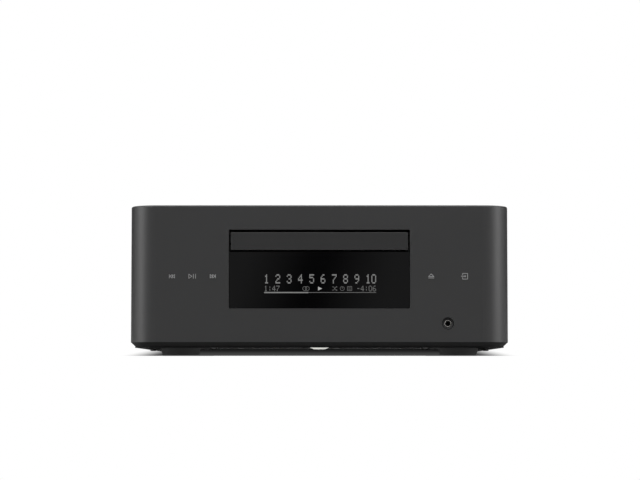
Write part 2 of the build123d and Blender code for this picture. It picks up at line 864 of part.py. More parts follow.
# Rear panel with its cut-outs
with BuildPart() as rear_panel:
    panel_half_width = inner_side - seam
    block((-panel_half_width, panel_half_width), (panel_inside, back_y), (skirt_top, lid_z))
    block(around(0, width - 2 * rim_edge), (panel_inside, back_y), (floor_z, skirt_top))
    block(around(0, 2 * rear_flange_x + lug_size), (panel_inside - rear_flange_depth, panel_inside),
          (floor_z, floor_z + steel))
    for x, y in underside_screws[-2:]:
        rod_up(x, y, (floor_z - overrun, floor_z + overrun), screw_shank_radius + fit_gap, Mode.SUBTRACT)
    through = (panel_inside - overrun, back_y + overrun)
    for x, z in rear_screws:
        rod_back(x, z, through, screw_hole_radius, Mode.SUBTRACT)
    for x, z in phono_places:
        rod_back(x, z, through, phono_radius + socket_hole_gap, Mode.SUBTRACT)
    rod_back(aerial_x, aerial_z, through, aerial_radius + socket_hole_gap, Mode.SUBTRACT)
    for x, z, size_x, size_z in (
        (speaker_x, speaker_z, speaker_body_size, speaker_body_size),
        (inlet_x, inlet_z, inlet_body_width, inlet_body_height),
        (optical_x, board_top + optical_size / 2, optical_size, optical_size),
        (network_x, board_top + network_height / 2, network_width, network_height),
        (usb_x, board_top + usb_height / 2, usb_width, usb_height),
    ):
        block(around(x, size_x + 2 * running_gap), through, around(z, size_z + 2 * running_gap),
              Mode.SUBTRACT)
    with BuildSketch(upright(back_y + overrun)):
        with Locations((0, rear_vents_z)):
            with GridLocations(rear_vent_column_pitch, rear_vent_pitch, rear_vent_columns, rear_vent_rows):
                SlotOverall(rear_vent_length, rear_vent_width)
    extrude(amount=steel + 2 * overrun, mode=Mode.SUBTRACT)

# Window, door and display
with BuildPart() as window_frame:
    frame_half_width = window_width / 2 + frame_margin
    block((-frame_half_width, frame_half_width), (inner_front, inner_front + frame_thickness),
          (window_sill - frame_margin, window_top + frame_margin))
    through_frame = (inner_front - overrun, inner_front + frame_thickness + overrun)
    block(around(0, window_width), through_frame, (door_bottom - slot_drop, window_top), Mode.SUBTRACT)
    block(around(0, module_width + 2 * running_gap), through_frame,
          around(display_mid_z, module_height + 2 * running_gap), Mode.SUBTRACT)
    for side in (-1, 1):
        boss_at = side * (display_board_width / 2 - display_boss_inset)
        for z in (display_board_bottom + display_boss_inset, display_board_top - display_boss_inset):
            rod_back(boss_at, z, (inner_front + frame_thickness, display_board_y), display_boss_radius)

with BuildPart() as display_window:
    block(around(0, window_width - 2 * running_gap), (front_y + window_recess, inner_front),
          (window_sill + running_gap, door_bottom - door_gap))

with BuildPart() as tray_door:
    block(around(0, door_width), (door_y, door_back), (door_bottom, door_top))
    fillet(tray_door.faces().sort_by(Axis.Y)[0].edges(), door_rounding)

with BuildPart() as display_module:
    block(around(0, module_width), (inner_front + running_gap, display_board_y),
          around(display_mid_z, module_height))

with BuildPart() as display_board:
    block(around(0, display_board_width), (display_board_y, display_board_y + board_thickness),
          (display_board_bottom, display_board_top))


def touch_board(side):
    """The touch pads behind one group of key signs."""
    with BuildPart() as board:
        block(on_side(side, touch_inner_x, touch_outer_x), (inner_front, inner_front + board_thickness),
              (touch_low_z, touch_low_z + touch_height))
    return board


touch_board_left = touch_board(-1)
touch_board_right = touch_board(1)

with BuildPart() as headphone_ring:
    rod_back(jack_x, jack_z, (front_y + ring_recess, ring_back), ring_radius)
    rod_back(jack_x, jack_z, (inner_front, ring_back), ring_flange_radius)
    rod_back(jack_x, jack_z, (front_y, ring_back + overrun), jack_nose_radius + fit_gap, Mode.SUBTRACT)
    with Locations((jack_x, front_y + ring_recess + ring_dish_depth / 2, jack_z)):
        Cone(jack_nose_radius + fit_gap, ring_dish_radius, ring_dish_depth, rotation=(90, 0, 0),
             mode=Mode.SUBTRACT)

with BuildPart() as headphone_jack:
    nose_y = front_y + jack_nose_recess
    block(around(jack_x, jack_body_width), (jack_body_y, jack_body_y + jack_body_length),
          around(jack_z, jack_body_height))
    rod_back(jack_x, jack_z, (nose_y, jack_body_y), jack_nose_radius)
    rod_back(jack_x, jack_z, (nose_y, nose_y + jack_bore_length), jack_bore_radius, Mode.SUBTRACT)

with BuildPart() as indicator_lens:
    with BuildSketch(upright(lens_y)):
        with BuildLine():
            chord = Line((lens_width / 2, foot_height), (-lens_width / 2, foot_height))
            ThreePointArc(chord @ 1, (0, foot_height - lens_hang), chord @ 0)
        make_face()
    extrude(amount=-lens_depth)
    block(around(0, lens_width), (lens_y, lens_y + lens_depth), (foot_height, skirt_top))
    block(around(0, lens_flange_width), (lens_y, lens_y + lens_depth),
          (skirt_top, skirt_top + lens_flange_thickness))

# Disc tray and its rack
with BuildPart() as disc_tray:
    tray_half = tray_width / 2
    block((-tray_half, tray_half), (door_back, tray_rear), (tray_z, tray_top))
    for side in (-1, 1):
        block(on_side(side, tray_half, tray_half + rail_reach), (door_back + rail_set_back, tray_rear),
              (rail_z, rail_z + rail_thickness))
    with BuildSketch(Plane.XY.offset(tray_top)):
        with Locations((0, disc_y)):
            Circle(disc_recess_radius)
    extrude(amount=-disc_recess_depth, mode=Mode.SUBTRACT)
    with BuildSketch(Plane.XY.offset(tray_top)):
        with Locations((0, disc_y)):
            Circle(small_recess_radius)
    extrude(amount=-small_recess_depth, mode=Mode.SUBTRACT)
    with BuildSketch(Plane.XY.offset(tray_z - rack_depth)):
        with BuildLine():
            Polyline(*rack_outline(), close=True)
        make_face()
    extrude(amount=rack_depth)
    rod_up(0, disc_y, (tray_z - overrun, tray_top + overrun), tray_slot_width / 2, Mode.SUBTRACT)
    block(around(0, tray_slot_width), (disc_y, tray_rear + overrun), (tray_z - overrun, tray_top + overrun),
          Mode.SUBTRACT)

# Gears, pulleys and belt
with BuildPart() as tray_gear:
    with BuildSketch(Plane((tray_gear_x, gear_y, gear_top - gear_thickness))):
        with BuildLine():
            Polyline(*gear_outline(tray_gear_teeth, 0), close=True)
        make_face()
    extrude(amount=gear_thickness)
    rod_up(tray_gear_x, gear_y, (loader_floor + running_gap, gear_top - gear_thickness), gear_boss_radius)
    rod_up(tray_gear_x, gear_y, (loader_floor, gear_top + overrun), gear_post_radius + fit_gap, Mode.SUBTRACT)

with BuildPart() as pulley_gear:
    with BuildSketch(Plane((pulley_gear_x, gear_y, pulley_top))):
        with BuildLine():
            Polyline(*gear_outline(pinion_teeth, pi / pinion_teeth), close=True)
        make_face()
    extrude(amount=gear_top - pulley_top)
    rod_up(pulley_gear_x, gear_y, (pulley_bottom, pulley_bottom + pulley_flange), pulley_radius)
    rod_up(pulley_gear_x, gear_y, (pulley_bottom, pulley_top), pulley_radius - groove_depth)
    rod_up(pulley_gear_x, gear_y, (pulley_top - pulley_flange, pulley_top), pulley_radius)
    rod_up(pulley_gear_x, gear_y, (loader_floor + running_gap, pulley_bottom), gear_boss_radius)
    rod_up(pulley_gear_x, gear_y, (loader_floor, gear_top + overrun), gear_post_radius + fit_gap,
           Mode.SUBTRACT)

with BuildPart() as motor_pulley:
    rod_up(loading_motor_x, gear_y, (pulley_bottom, pulley_bottom + pulley_flange), motor_pulley_radius)
    rod_up(loading_motor_x, gear_y, (pulley_bottom, pulley_top), motor_pulley_radius - groove_depth)
    rod_up(loading_motor_x, gear_y, (pulley_top - pulley_flange, pulley_top), motor_pulley_radius)
    rod_up(loading_motor_x, gear_y, (pulley_bottom, pulley_top), motor_shaft_radius + fit_gap, Mode.SUBTRACT)


def belt_loop(growth):
    """The plan of a belt round both pulley grooves, grown outwards."""
    with Locations((pulley_gear_x, gear_y)):
        Circle(pulley_radius - groove_depth + fit_gap + growth)
    with Locations((loading_motor_x, gear_y)):
        Circle(motor_pulley_radius - groove_depth + fit_gap + growth)
    make_hull(edges())


with BuildPart() as drive_belt:
    with BuildSketch(Plane.XY.offset(pulley_middle - belt_size / 2)):
        belt_loop(belt_size)
    extrude(amount=belt_size)
    with BuildSketch(Plane.XY.offset(pulley_middle - belt_size / 2)):
        belt_loop(0)
    extrude(amount=belt_size, mode=Mode.SUBTRACT)

with BuildPart() as loading_motor:
    motor_top = loader_floor - loader_floor_thickness
    rod_up(loading_motor_x, gear_y, (motor_top - loading_motor_length, motor_top), loading_motor_radius)
    rod_up(loading_motor_x, gear_y, (motor_top, pulley_top), motor_shaft_radius)

# Loader frame, clamp bridge and clamp puck
with BuildPart() as loader_frame:
    floor_low = loader_floor - loader_floor_thickness
    for side in (-1, 1):
        block(on_side(side, loader_in, loader_out), (loader_front, loader_rear), (loader_bottom, loader_top))
        block(on_side(side, loader_in - overrun, tray_width / 2 + rail_reach + running_gap),
              (loader_front - overrun, loader_rear + overrun),
              (rail_z - running_gap, rail_z + rail_thickness + running_gap), Mode.SUBTRACT)
        for leg_y in (leg_front_y, leg_rear_y):
            block(on_side(side, loader_in, loader_out), around(leg_y, leg_length), (floor_z, loader_bottom))
            block(on_side(side, loader_in, loader_out + pad_reach), around(leg_y, leg_length),
                  (floor_z, floor_z + pad_thickness))
            rod_up(side * leg_hole_x, leg_y, (floor_z - overrun, floor_z + pad_thickness + overrun),
                   screw_hole_radius, Mode.SUBTRACT)
    block((-loader_in, loader_in), (loader_front, beam_back), (floor_low, loader_floor))
    block((-loader_in, loader_in), (beam_back - beam_thickness, beam_back), (beam_bottom, floor_low))
    block(around(0, beam_ledge_width), (beam_back - beam_thickness, beam_back + beam_ledge_depth),
          (beam_bottom - running_gap - beam_ledge_thickness, beam_bottom - running_gap))
    block(around(0, beam_ledge_width), (beam_back - beam_thickness, beam_back),
          (beam_bottom - running_gap, beam_bottom))
    block((-loader_in, loader_in), (loader_rear - cross_thickness, loader_rear),
          (tray_z - cross_drop - cross_height, tray_z - cross_drop))
    for post_x in (tray_gear_x, pulley_gear_x):
        rod_up(post_x, gear_y, (loader_floor, gear_top), gear_post_radius)
    rod_up(loading_motor_x, gear_y, (floor_low - overrun, loader_floor + overrun), motor_hole_radius,
           Mode.SUBTRACT)
    rod_across(hinge_y, hinge_z, (-loader_out - overrun, loader_out + overrun), hinge_pin_radius + fit_gap,
               Mode.SUBTRACT)

with BuildPart() as clamp_bridge:
    bridge_y = around(disc_y, bridge_depth)
    block((-loader_out, loader_out), bridge_y, (bridge_z, bridge_top))
    for side in (-1, 1):
        block(on_side(side, loader_in, loader_out), bridge_y, (loader_top, bridge_z))
    rod_up(0, disc_y, (bridge_z - overrun, bridge_top + overrun), bridge_hole_radius, Mode.SUBTRACT)

with BuildPart() as clamp_puck:
    rod_up(0, disc_y, (puck_z, puck_z + puck_flange_thickness), puck_flange_radius)
    rod_up(0, disc_y, (puck_z, puck_cap_z), puck_neck_radius)
    rod_up(0, disc_y, (puck_cap_z, puck_cap_z + puck_cap_thickness), puck_cap_radius)
    rod_up(0, disc_y, (puck_z - overrun, puck_z + puck_recess_depth), puck_recess_radius, Mode.SUBTRACT)

# Lift frame and cam slider
with BuildPart() as lift_frame:
    block((-lift_half_width, lift_half_width), (lift_front, lift_rear), (lift_z, lift_top))
    block((-lift_opening_half_width, lift_opening_half_width),
          (lift_front + lift_border, lift_rear - lift_rear_border), (lift_z - overrun, lift_top + overrun),
          Mode.SUBTRACT)
    for side in (-1, 1):
        rod_across(hinge_y, hinge_z, on_side(side, lift_half_width, loader_out), hinge_pin_radius)
    rod_back(cam_pin_x, hinge_z, (beam_back + cam_pin_clear, lift_front), cam_pin_radius)

with BuildPart() as cam_slider:
    block(around(0, cam_width), (cam_y, cam_y + cam_thickness), (cam_bottom, cam_top))
    with BuildSketch(upright(cam_y - overrun)):
        with Locations((cam_pin_x, hinge_z), (cam_pin_x - cam_travel, hinge_z - cam_drop)):
            Circle(cam_pin_radius + cam_slot_gap)
        make_hull(edges())
    extrude(amount=-(cam_thickness + 2 * overrun), mode=Mode.SUBTRACT)

# Pickup base on its grommets
with BuildPart() as deck_grommets:
    for x in (-grommet_x, grommet_x):
        for y in (base_front + grommet_inset, base_rear - grommet_rear_inset + lift_tail):
            third = grommet_height / 3
            rod_up(x, y, (lift_top, lift_top + third), grommet_radius)
            rod_up(x, y, (lift_top + third, base_z - third), grommet_waist_radius)
            rod_up(x, y, (base_z - third, base_z), grommet_radius)

with BuildPart() as pickup_base:
    block((-base_half_width, base_half_width), (base_front, base_rear), (base_z, base_top))
    block((-sled_window_left, sled_window_right), (window_front, window_rear),
          (base_z - overrun, base_top + overrun), Mode.SUBTRACT)
    for y in ((window_front - block_length, window_front), (window_rear, window_rear + block_length)):
        block((-sled_half_width, sled_window_right), y, (base_z - block_depth, base_z))
        ends = (y[0] - overrun, y[1] + overrun)
        for x in (-rod_x_offset, rod_x_offset):
            rod_back(x, rod_z_level, ends, rod_radius + fit_gap, Mode.SUBTRACT)
        rod_back(screw_x, screw_z, ends, rod_radius + fit_gap, Mode.SUBTRACT)
    rod_up(0, disc_y, (base_z - overrun, base_top + overrun), spindle_hole_radius, Mode.SUBTRACT)

with BuildPart() as spindle_motor:
    rod_up(0, disc_y, (base_z - spindle_motor_height, base_z), spindle_motor_radius)
    rod_up(0, disc_y, (base_z, base_top), spindle_boss_radius)
    rod_up(0, disc_y, (base_top, turntable_top + cone_height - spindle_recess), motor_shaft_radius)

with BuildPart() as turntable:
    rod_up(0, disc_y, (base_top + turntable_boss_gap, turntable_z), turntable_boss_radius)
    rod_up(0, disc_y, (turntable_z, turntable_top), turntable_radius)
    with Locations((0, disc_y, turntable_top + cone_height / 2)):
        Cone(cone_base_radius, cone_top_radius, cone_height)
    rod_up(0, disc_y, (base_top, turntable_top + cone_height + overrun), motor_shaft_radius + fit_gap,
           Mode.SUBTRACT)

with BuildPart() as guide_rods:
    for x in (-rod_x_offset, rod_x_offset):
        rod_back(x, rod_z_level, (window_front - block_length, window_rear + block_length), rod_radius)

with BuildPart() as pickup_sled:
    block((-sled_half_width, sled_half_width), (sled_front, sled_rear), (sled_z, sled_top))
    block((-pickup_half_width, pickup_half_width), (pickup_y - pickup_half_length, pickup_y + pickup_rear),
          (sled_top, pickup_top))
    sled_ends = (sled_front - overrun, sled_rear + overrun)
    for x in (-rod_x_offset, rod_x_offset):
        block(around(x, 2 * bush_half_width), (sled_front, sled_rear), (rod_z_level - bush_depth, sled_z))
        rod_back(x, rod_z_level, sled_ends, rod_radius + fit_gap, Mode.SUBTRACT)
    nut_y = around((sled_front + sled_rear) / 2, nut_length)
    block((rod_x_offset + bush_half_width, screw_x - rod_radius - running_gap), nut_y,
          around(screw_z, nut_height))
    block((rod_x_offset + rod_radius + fit_gap, rod_x_offset + bush_half_width + nut_height / 2), nut_y,
          (screw_z, rod_z_level))
    rod_back(rod_x_offset, rod_z_level, sled_ends, rod_radius + fit_gap, Mode.SUBTRACT)

with BuildPart() as pickup_lens:
    rod_up(0, pickup_y, (pickup_top, pickup_top + lens_ring_height), lens_ring_radius)
    with BuildSketch(Plane.YZ):
        with BuildLine():
            lens_base = pickup_top + lens_ring_height
            foot_line = Line((pickup_y, lens_base), (pickup_y + objective_radius, lens_base))
            axis_line = Line((pickup_y, lens_base + objective_rise), (pickup_y, lens_base))
            RadiusArc(foot_line @ 1, axis_line @ 0,
                      -(objective_radius**2 + objective_rise**2) / (2 * objective_rise))
        make_face()
    revolve(axis=Axis((0, pickup_y, 0), (0, 0, 1)))

with BuildPart() as sled_screw:
    rod_back(screw_x, screw_z, (window_front - block_length - sled_motor_gap + running_gap,
             window_rear + block_length - running_gap), rod_radius)

with BuildPart() as sled_motor:
    sled_motor_front = window_front - block_length - sled_motor_gap
    rod_back(screw_x, screw_z, (sled_motor_front - sled_motor_length, sled_motor_front), sled_motor_radius)

# Boards and what stands on them
with BuildPart() as main_board:
    block((-main_board_half_width, main_board_half_width), (main_board_front, main_board_rear),
          (board_z, board_top))
    block(around(0, processor_size), around(processor_y, processor_size),
          (board_top, board_top + chip_height))
    for x in (-module_shield_x, module_shield_x):
        block(around(x, module_shield_size), around(processor_y, module_shield_size),
              (board_top, board_top + module_shield_height))

with BuildPart() as power_board:
    block((-side_board_outer, -side_board_inner), (power_board_front, power_board_rear), (board_z, board_top))
    for x in around(-side_board_middle, capacitor_pitch):
        rod_up(x, capacitor_y, (board_top, board_top + capacitor_height), capacitor_radius)
    block(around(-side_board_middle, filter_width), around(filter_y, filter_length),
          (board_top, board_top + filter_height))

with BuildPart() as transformer:
    for end in (-1, 1):
        middle = transformer_y + end * (transformer_length - transformer_core_thickness) / 2
        block(around(-side_board_middle, transformer_width), around(middle, transformer_core_thickness),
              (board_top, board_top + transformer_height))
    rod_back(-side_board_middle, board_top + transformer_height / 2,
             around(transformer_y, transformer_length), transformer_winding_radius)

with BuildPart() as amplifier_board:
    block((side_board_inner, side_board_outer), (amplifier_board_front, amplifier_board_rear),
          (board_z, board_top))
    for y in (amplifier_chip_y, amplifier_chip_y + amplifier_chip_pitch):
        block(around(side_board_middle, amplifier_chip_size), around(y, amplifier_chip_size),
              (board_top, board_top + chip_height))
    for x in around(side_board_middle, coil_pitch):
        for y in around(coil_y, coil_pitch):
            block(around(x, coil_size), around(y, coil_size), (board_top, board_top + coil_height))

with BuildPart() as heat_sink:
    sink_z = board_top + chip_height
    sink_y = around(amplifier_chip_y + amplifier_chip_pitch / 2, amplifier_chip_pitch + amplifier_chip_size)
    block(around(side_board_middle, sink_width), sink_y, (sink_z, sink_z + sink_base))
    for fin in range(fin_count):
        fin_x = side_board_middle - (sink_width - fin_thickness) * (1 / 2 - fin / (fin_count - 1))
        block(around(fin_x, fin_thickness), sink_y, (sink_z + sink_base, sink_z + sink_height))

# Speaker terminals
with BuildPart() as speaker_terminal_block:
    block(around(speaker_x, speaker_plate_size), (back_y, back_y + speaker_plate_thickness),
          around(speaker_z, speaker_plate_size))
    fillet(speaker_terminal_block.edges().filter_by(Axis.Y), speaker_plate_thickness)
    block(around(speaker_x, speaker_body_size), (back_y - speaker_body_depth, back_y),
          around(speaker_z, speaker_body_size))
    for x, z in post_places:
        rod_back(x, z, (back_y - speaker_body_depth - overrun, back_y + speaker_plate_thickness + overrun),
                 post_radius + fit_gap, Mode.SUBTRACT)

with BuildPart() as terminal_posts:
    collar_y = back_y + speaker_plate_thickness
    post_end = cap_end - cap_end_wall - running_gap
    for x, z in post_places:
        rod_back(x, z, (back_y - speaker_body_depth - post_tail, post_end), post_radius)
        rod_back(x, z, (collar_y, collar_y + post_collar_length), post_collar_radius)
        rod_back(x, z, (post_end - banana_length, post_end), banana_radius, Mode.SUBTRACT)


def terminal_cap(x, z):
    """A fluted cap that screws along its speaker post, open at its end for a plug."""
    with BuildPart() as cap:
        with BuildSketch(upright(cap_y)):
            with Locations((x, z)):
                Circle(cap_radius)
                with PolarLocations(cap_radius, cap_flutes):
                    Circle(cap_flute_radius, mode=Mode.SUBTRACT)
        extrude(amount=-(cap_end - cap_y))
        rod_back(x, z, (cap_y - overrun, cap_end - cap_end_wall), post_radius + fit_gap, Mode.SUBTRACT)
        rod_back(x, z, (cap_y, cap_end + overrun), cap_mouth_radius, Mode.SUBTRACT)
    return cap


terminal_caps = {f"terminal_cap_{n + 1}": terminal_cap(x, z) for n, (x, z) in enumerate(post_places)}

# Sockets of the rear panel
with BuildPart() as phono_jacks:
    block(around(phono_x, (phono_columns - 1) * phono_pitch_x + 2 * phono_body_margin),
          (panel_inside - phono_body_depth, panel_inside),
          (board_top, phono_low_z + phono_pitch_z + phono_body_margin))
    for x, z in phono_places:
        rod_back(x, z, (panel_inside, back_y), phono_radius + socket_collar)
        rod_back(x, z, (back_y, back_y + phono_reach), phono_radius)
        rod_back(x, z, (back_y + phono_reach - phono_bore_depth, back_y + phono_reach), phono_bore_radius,
                 Mode.SUBTRACT)

with BuildPart() as optical_input:
    optical_z = board_top + optical_size / 2
    optical_end = back_y + optical_reach
    block(around(optical_x, optical_size), (back_y - optical_depth, optical_end),
          around(optical_z, optical_size))
    block(around(optical_x, optical_recess), (optical_end - optical_recess_depth, optical_end + overrun),
          around(optical_z, optical_recess), Mode.SUBTRACT)

with BuildPart() as network_socket:
    network_end = back_y + network_reach
    network_floor = board_top + network_mouth_lift
    block(around(network_x, network_width), (back_y - network_depth, network_end),
          (board_top, board_top + network_height))
    block(around(network_x, network_mouth_width), (network_end - network_mouth_depth, network_end + overrun),
          (network_floor, network_floor + network_mouth_height), Mode.SUBTRACT)

with BuildPart() as usb_socket:
    usb_end = back_y + usb_reach
    usb_z = board_top + usb_height / 2
    block(around(usb_x, usb_width), (back_y - usb_depth, usb_end), (board_top, board_top + usb_height))
    block(around(usb_x, usb_mouth_width), (usb_end - usb_mouth_depth, usb_end + overrun),
          around(usb_z, usb_mouth_height), Mode.SUBTRACT)
    tongue_top = usb_z + usb_mouth_height / 2 - usb_tongue_height / 3
    block(around(usb_x, usb_tongue_width), (usb_end - usb_mouth_depth, usb_end - usb_tongue_recess),
          (tongue_top - usb_tongue_height, tongue_top))

with BuildPart() as aerial_socket:
    aerial_end = back_y + aerial_reach
    block(around(aerial_x, aerial_body), (panel_inside - aerial_body_depth, panel_inside),
          (board_top, board_top + aerial_body))
    rod_back(aerial_x, aerial_z, (panel_inside, back_y), aerial_radius + socket_collar)
    rod_back(aerial_x, aerial_z, (back_y, aerial_end), aerial_radius)
    rod_back(aerial_x, aerial_z, (aerial_end - aerial_bore_depth, aerial_end), aerial_bore_radius,
             Mode.SUBTRACT)

with BuildPart() as mains_inlet:
    inlet_end = back_y + inlet_flange_thickness
    block(around(inlet_x, inlet_flange_width), (back_y, inlet_end), around(inlet_z, inlet_flange_height))
    fillet(mains_inlet.edges().filter_by(Axis.Y), inlet_flange_thickness)
    block(around(inlet_x, inlet_body_width), (back_y - inlet_body_depth, back_y),
          around(inlet_z, inlet_body_height))
    inlet_floor = inlet_end - inlet_mouth_depth
    block(around(inlet_x, inlet_body_width - 2 * inlet_wall), (inlet_floor, inlet_end + overrun),
          around(inlet_z, inlet_body_height - 2 * inlet_wall), Mode.SUBTRACT)
    for x, z in (
        (inlet_x - inlet_pin_pitch, inlet_z - inlet_pin_offset),
        (inlet_x, inlet_z + inlet_pin_offset),
        (inlet_x + inlet_pin_pitch, inlet_z - inlet_pin_offset),
    ):
        block(around(x, inlet_pin_width), (inlet_floor, inlet_floor + inlet_pin_length),
              around(z, inlet_pin_height))

# Every finished piece gets its label and its file
pieces = {
    "front_fascia": front_fascia,
    "side_panel_left": side_panel_left,
    "side_panel_right": side_panel_right,
    "top_cover": top_cover,
    "top_plate": top_plate,
    "base_skirt": base_skirt,
    "base_chassis": base_chassis,
    "rear_panel": rear_panel,
    "case_screws": case_screws,
    "window_frame": window_frame,
    "display_window": display_window,
    "display_module": display_module,
    "display_board": display_board,
    "tray_door": tray_door,
    "touch_board_left": touch_board_left,
    "touch_board_right": touch_board_right,
    "headphone_ring": headphone_ring,
    "headphone_jack": headphone_jack,
    "indicator_lens": indicator_lens,
    "disc_tray": disc_tray,
    "tray_gear": tray_gear,
    "pulley_gear": pulley_gear,
    "motor_pulley": motor_pulley,
    "drive_belt": drive_belt,
    "loading_motor": loading_motor,
    "loader_frame": loader_frame,
    "clamp_bridge": clamp_bridge,
    "clamp_puck": clamp_puck,
    "lift_frame": lift_frame,
    "cam_slider": cam_slider,
    "deck_grommets": deck_grommets,
    "pickup_base": pickup_base,
    "spindle_motor": spindle_motor,
    "turntable": turntable,
    "guide_rods": guide_rods,
    "pickup_sled": pickup_sled,
    "pickup_lens": pickup_lens,
    "sled_screw": sled_screw,
    "sled_motor": sled_motor,
    "main_board": main_board,
    "power_board": power_board,
    "transformer": transformer,
    "amplifier_board": amplifier_board,
    "heat_sink": heat_sink,
    "speaker_terminal_block": speaker_terminal_block,
    "terminal_posts": terminal_posts,
    "phono_jacks": phono_jacks,
    "optical_input": optical_input,
    "network_socket": network_socket,
    "usb_socket": usb_socket,
    "aerial_socket": aerial_socket,
    "mains_inlet": mains_inlet,
    **feet,
    **terminal_caps,
}
for name, piece in pieces.items():
    piece.part.label = name
    export_step(piece.part, f"parts/{name}.step")
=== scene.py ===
from math import cos, pi, radians, sin, tau

import bmesh
import bpy
from mathutils import Matrix, Vector


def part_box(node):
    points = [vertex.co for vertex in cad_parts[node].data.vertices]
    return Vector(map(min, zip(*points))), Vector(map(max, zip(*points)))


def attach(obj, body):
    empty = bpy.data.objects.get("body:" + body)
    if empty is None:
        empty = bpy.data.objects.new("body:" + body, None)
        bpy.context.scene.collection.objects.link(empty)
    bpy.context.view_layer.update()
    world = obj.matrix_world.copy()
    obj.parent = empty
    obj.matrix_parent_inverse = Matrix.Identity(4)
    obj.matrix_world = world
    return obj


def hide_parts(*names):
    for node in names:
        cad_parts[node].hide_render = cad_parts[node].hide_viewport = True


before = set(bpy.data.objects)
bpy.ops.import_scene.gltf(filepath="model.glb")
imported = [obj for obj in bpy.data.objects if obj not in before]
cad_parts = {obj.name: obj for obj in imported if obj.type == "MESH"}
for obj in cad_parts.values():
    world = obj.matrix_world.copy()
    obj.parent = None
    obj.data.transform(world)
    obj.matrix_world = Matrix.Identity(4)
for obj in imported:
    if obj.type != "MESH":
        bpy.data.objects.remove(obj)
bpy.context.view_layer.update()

mm = 0.001


def placed(name, data):
    """A new object in the scene."""
    made = bpy.data.objects.new(name, data)
    bpy.context.scene.collection.objects.link(made)
    return made


# Camera: a long lens just below the level of the table, tilted up a little
def place_camera():
    camera = placed("camera", bpy.data.cameras.new("camera"))
    camera.location = camera_place
    camera.rotation_euler = (pi / 2 + camera_tilt, 0, 0)
    camera.data.sensor_width = sensor_width
    camera.data.lens = camera_lens
    camera.data.clip_end = camera_reach
    bpy.context.scene.camera = camera


front_y = -151.5 * mm
camera_distance = 1564.8 * mm
camera_place = (0.435 * mm, front_y - camera_distance, -13.09 * mm)
camera_tilt = radians(3.5944)
sensor_width, camera_lens = 36, 119.82
camera_reach = 50
place_camera()


# Node helpers for the finishes, and how far a surface's colour and gloss wander
noise_detail, broad_detail, drawn_detail = 3.0, 2.0, 4.0
broad_patch = 60 * mm
dark_share, drawn_dark_share, light_share = 0.9, 0.85, 1.1
gloss_step, drawn_gloss_less, drawn_gloss_more = 0.03, 0.06, 0.08
drawn_grain, drawn_depth = 0.4 * mm, 0.004 * mm


def fill(tree, node, **inputs):
    """Links the node's inputs to sockets or sets them to values, each by its name."""
    for name, value in inputs.items():
        socket = node.inputs[name.replace("_", " ")]
        if isinstance(value, bpy.types.NodeSocket):
            tree.links.new(value, socket)
        else:
            socket.default_value = value
    return node


def add_node(tree, kind, settings=None, **inputs):
    made = tree.nodes.new(kind)
    for name, value in (settings or {}).items():
        setattr(made, name, value)
    return fill(tree, made, **inputs)


def output(tree, kind, socket, settings=None, **inputs):
    return add_node(tree, kind, settings, **inputs).outputs[socket]


def new_material(name, **values):
    """A material whose plain values sit on the shader's own sockets."""
    made = bpy.data.materials.new(name)
    made.use_nodes = True
    tree = made.node_tree
    return made, tree, fill(tree, tree.nodes["Principled BSDF"], **values)


def own_place(tree):
    """The point of the surface in the object's own frame."""
    return output(tree, "ShaderNodeTexCoord", "Object")


def object_place(tree, stretch=(1, 1, 1)):
    """The same point, stretched for a pattern with a direction."""
    return output(tree, "ShaderNodeMapping", "Vector", Vector=own_place(tree), Scale=stretch)


def noise(tree, place, size, detail=noise_detail):
    """Cloudy noise whose blotches are about the given size in metres."""
    return output(tree, "ShaderNodeTexNoise", "Fac", Vector=place, Scale=1 / size, Detail=detail)


def ranged(tree, value, low, high, start=0.0, end=1.0):
    """A value mapped from start..end to low..high."""
    return output(tree, "ShaderNodeMapRange", "Result", Value=value, From_Min=start, From_Max=end, To_Min=low,
                  To_Max=high)


def blended(tree, factor, first, second):
    """A colour between the first and the second."""
    ends = {"A": (*first, 1), "B": (*second, 1)}
    return output(tree, "ShaderNodeMix", "Result", {"data_type": "RGBA"}, Factor=factor, **ends)


def relief(tree, shader, height, depth):
    """Bump with the given depth in metres."""
    normal = output(tree, "ShaderNodeBump", "Normal", Height=height, Distance=depth, Strength=1.0)
    fill(tree, shader, Normal=normal)


def split_place(tree, place):
    """The place's own X, Y and Z."""
    return add_node(tree, "ShaderNodeSeparateXYZ", Vector=place).outputs


def calculated(tree, operation, first, second=None):
    """A sum of two sockets, or of a socket and a number."""
    made = tree.nodes.new("ShaderNodeMath")
    made.operation = operation
    tree.links.new(first, made.inputs[0])
    if isinstance(second, (int, float)):
        made.inputs[1].default_value = second
    elif second is not None:
        tree.links.new(second, made.inputs[1])
    return made.outputs["Value"]


def times(tree, first, second):
    return calculated(tree, "MULTIPLY", first, second)


def shade(colour, share):
    return tuple(min(1.0, part * share) for part in colour)


def grey(level):
    return (level, level, level)


def moulded(name, colour, roughness, grain, depth, **values):
    """Moulded or painted surface: a fine grain, with a little change in colour and gloss."""
    made, tree, shader = new_material(name, **values)
    place = object_place(tree)
    fine = noise(tree, place, grain)
    broad = noise(tree, place, broad_patch, broad_detail)
    colours = blended(tree, fine, shade(colour, dark_share), shade(colour, light_share))
    gloss = ranged(tree, broad, roughness - gloss_step, roughness + gloss_step)
    fill(tree, shader, Base_Color=colours, Roughness=gloss)
    relief(tree, shader, fine, depth)
    return made


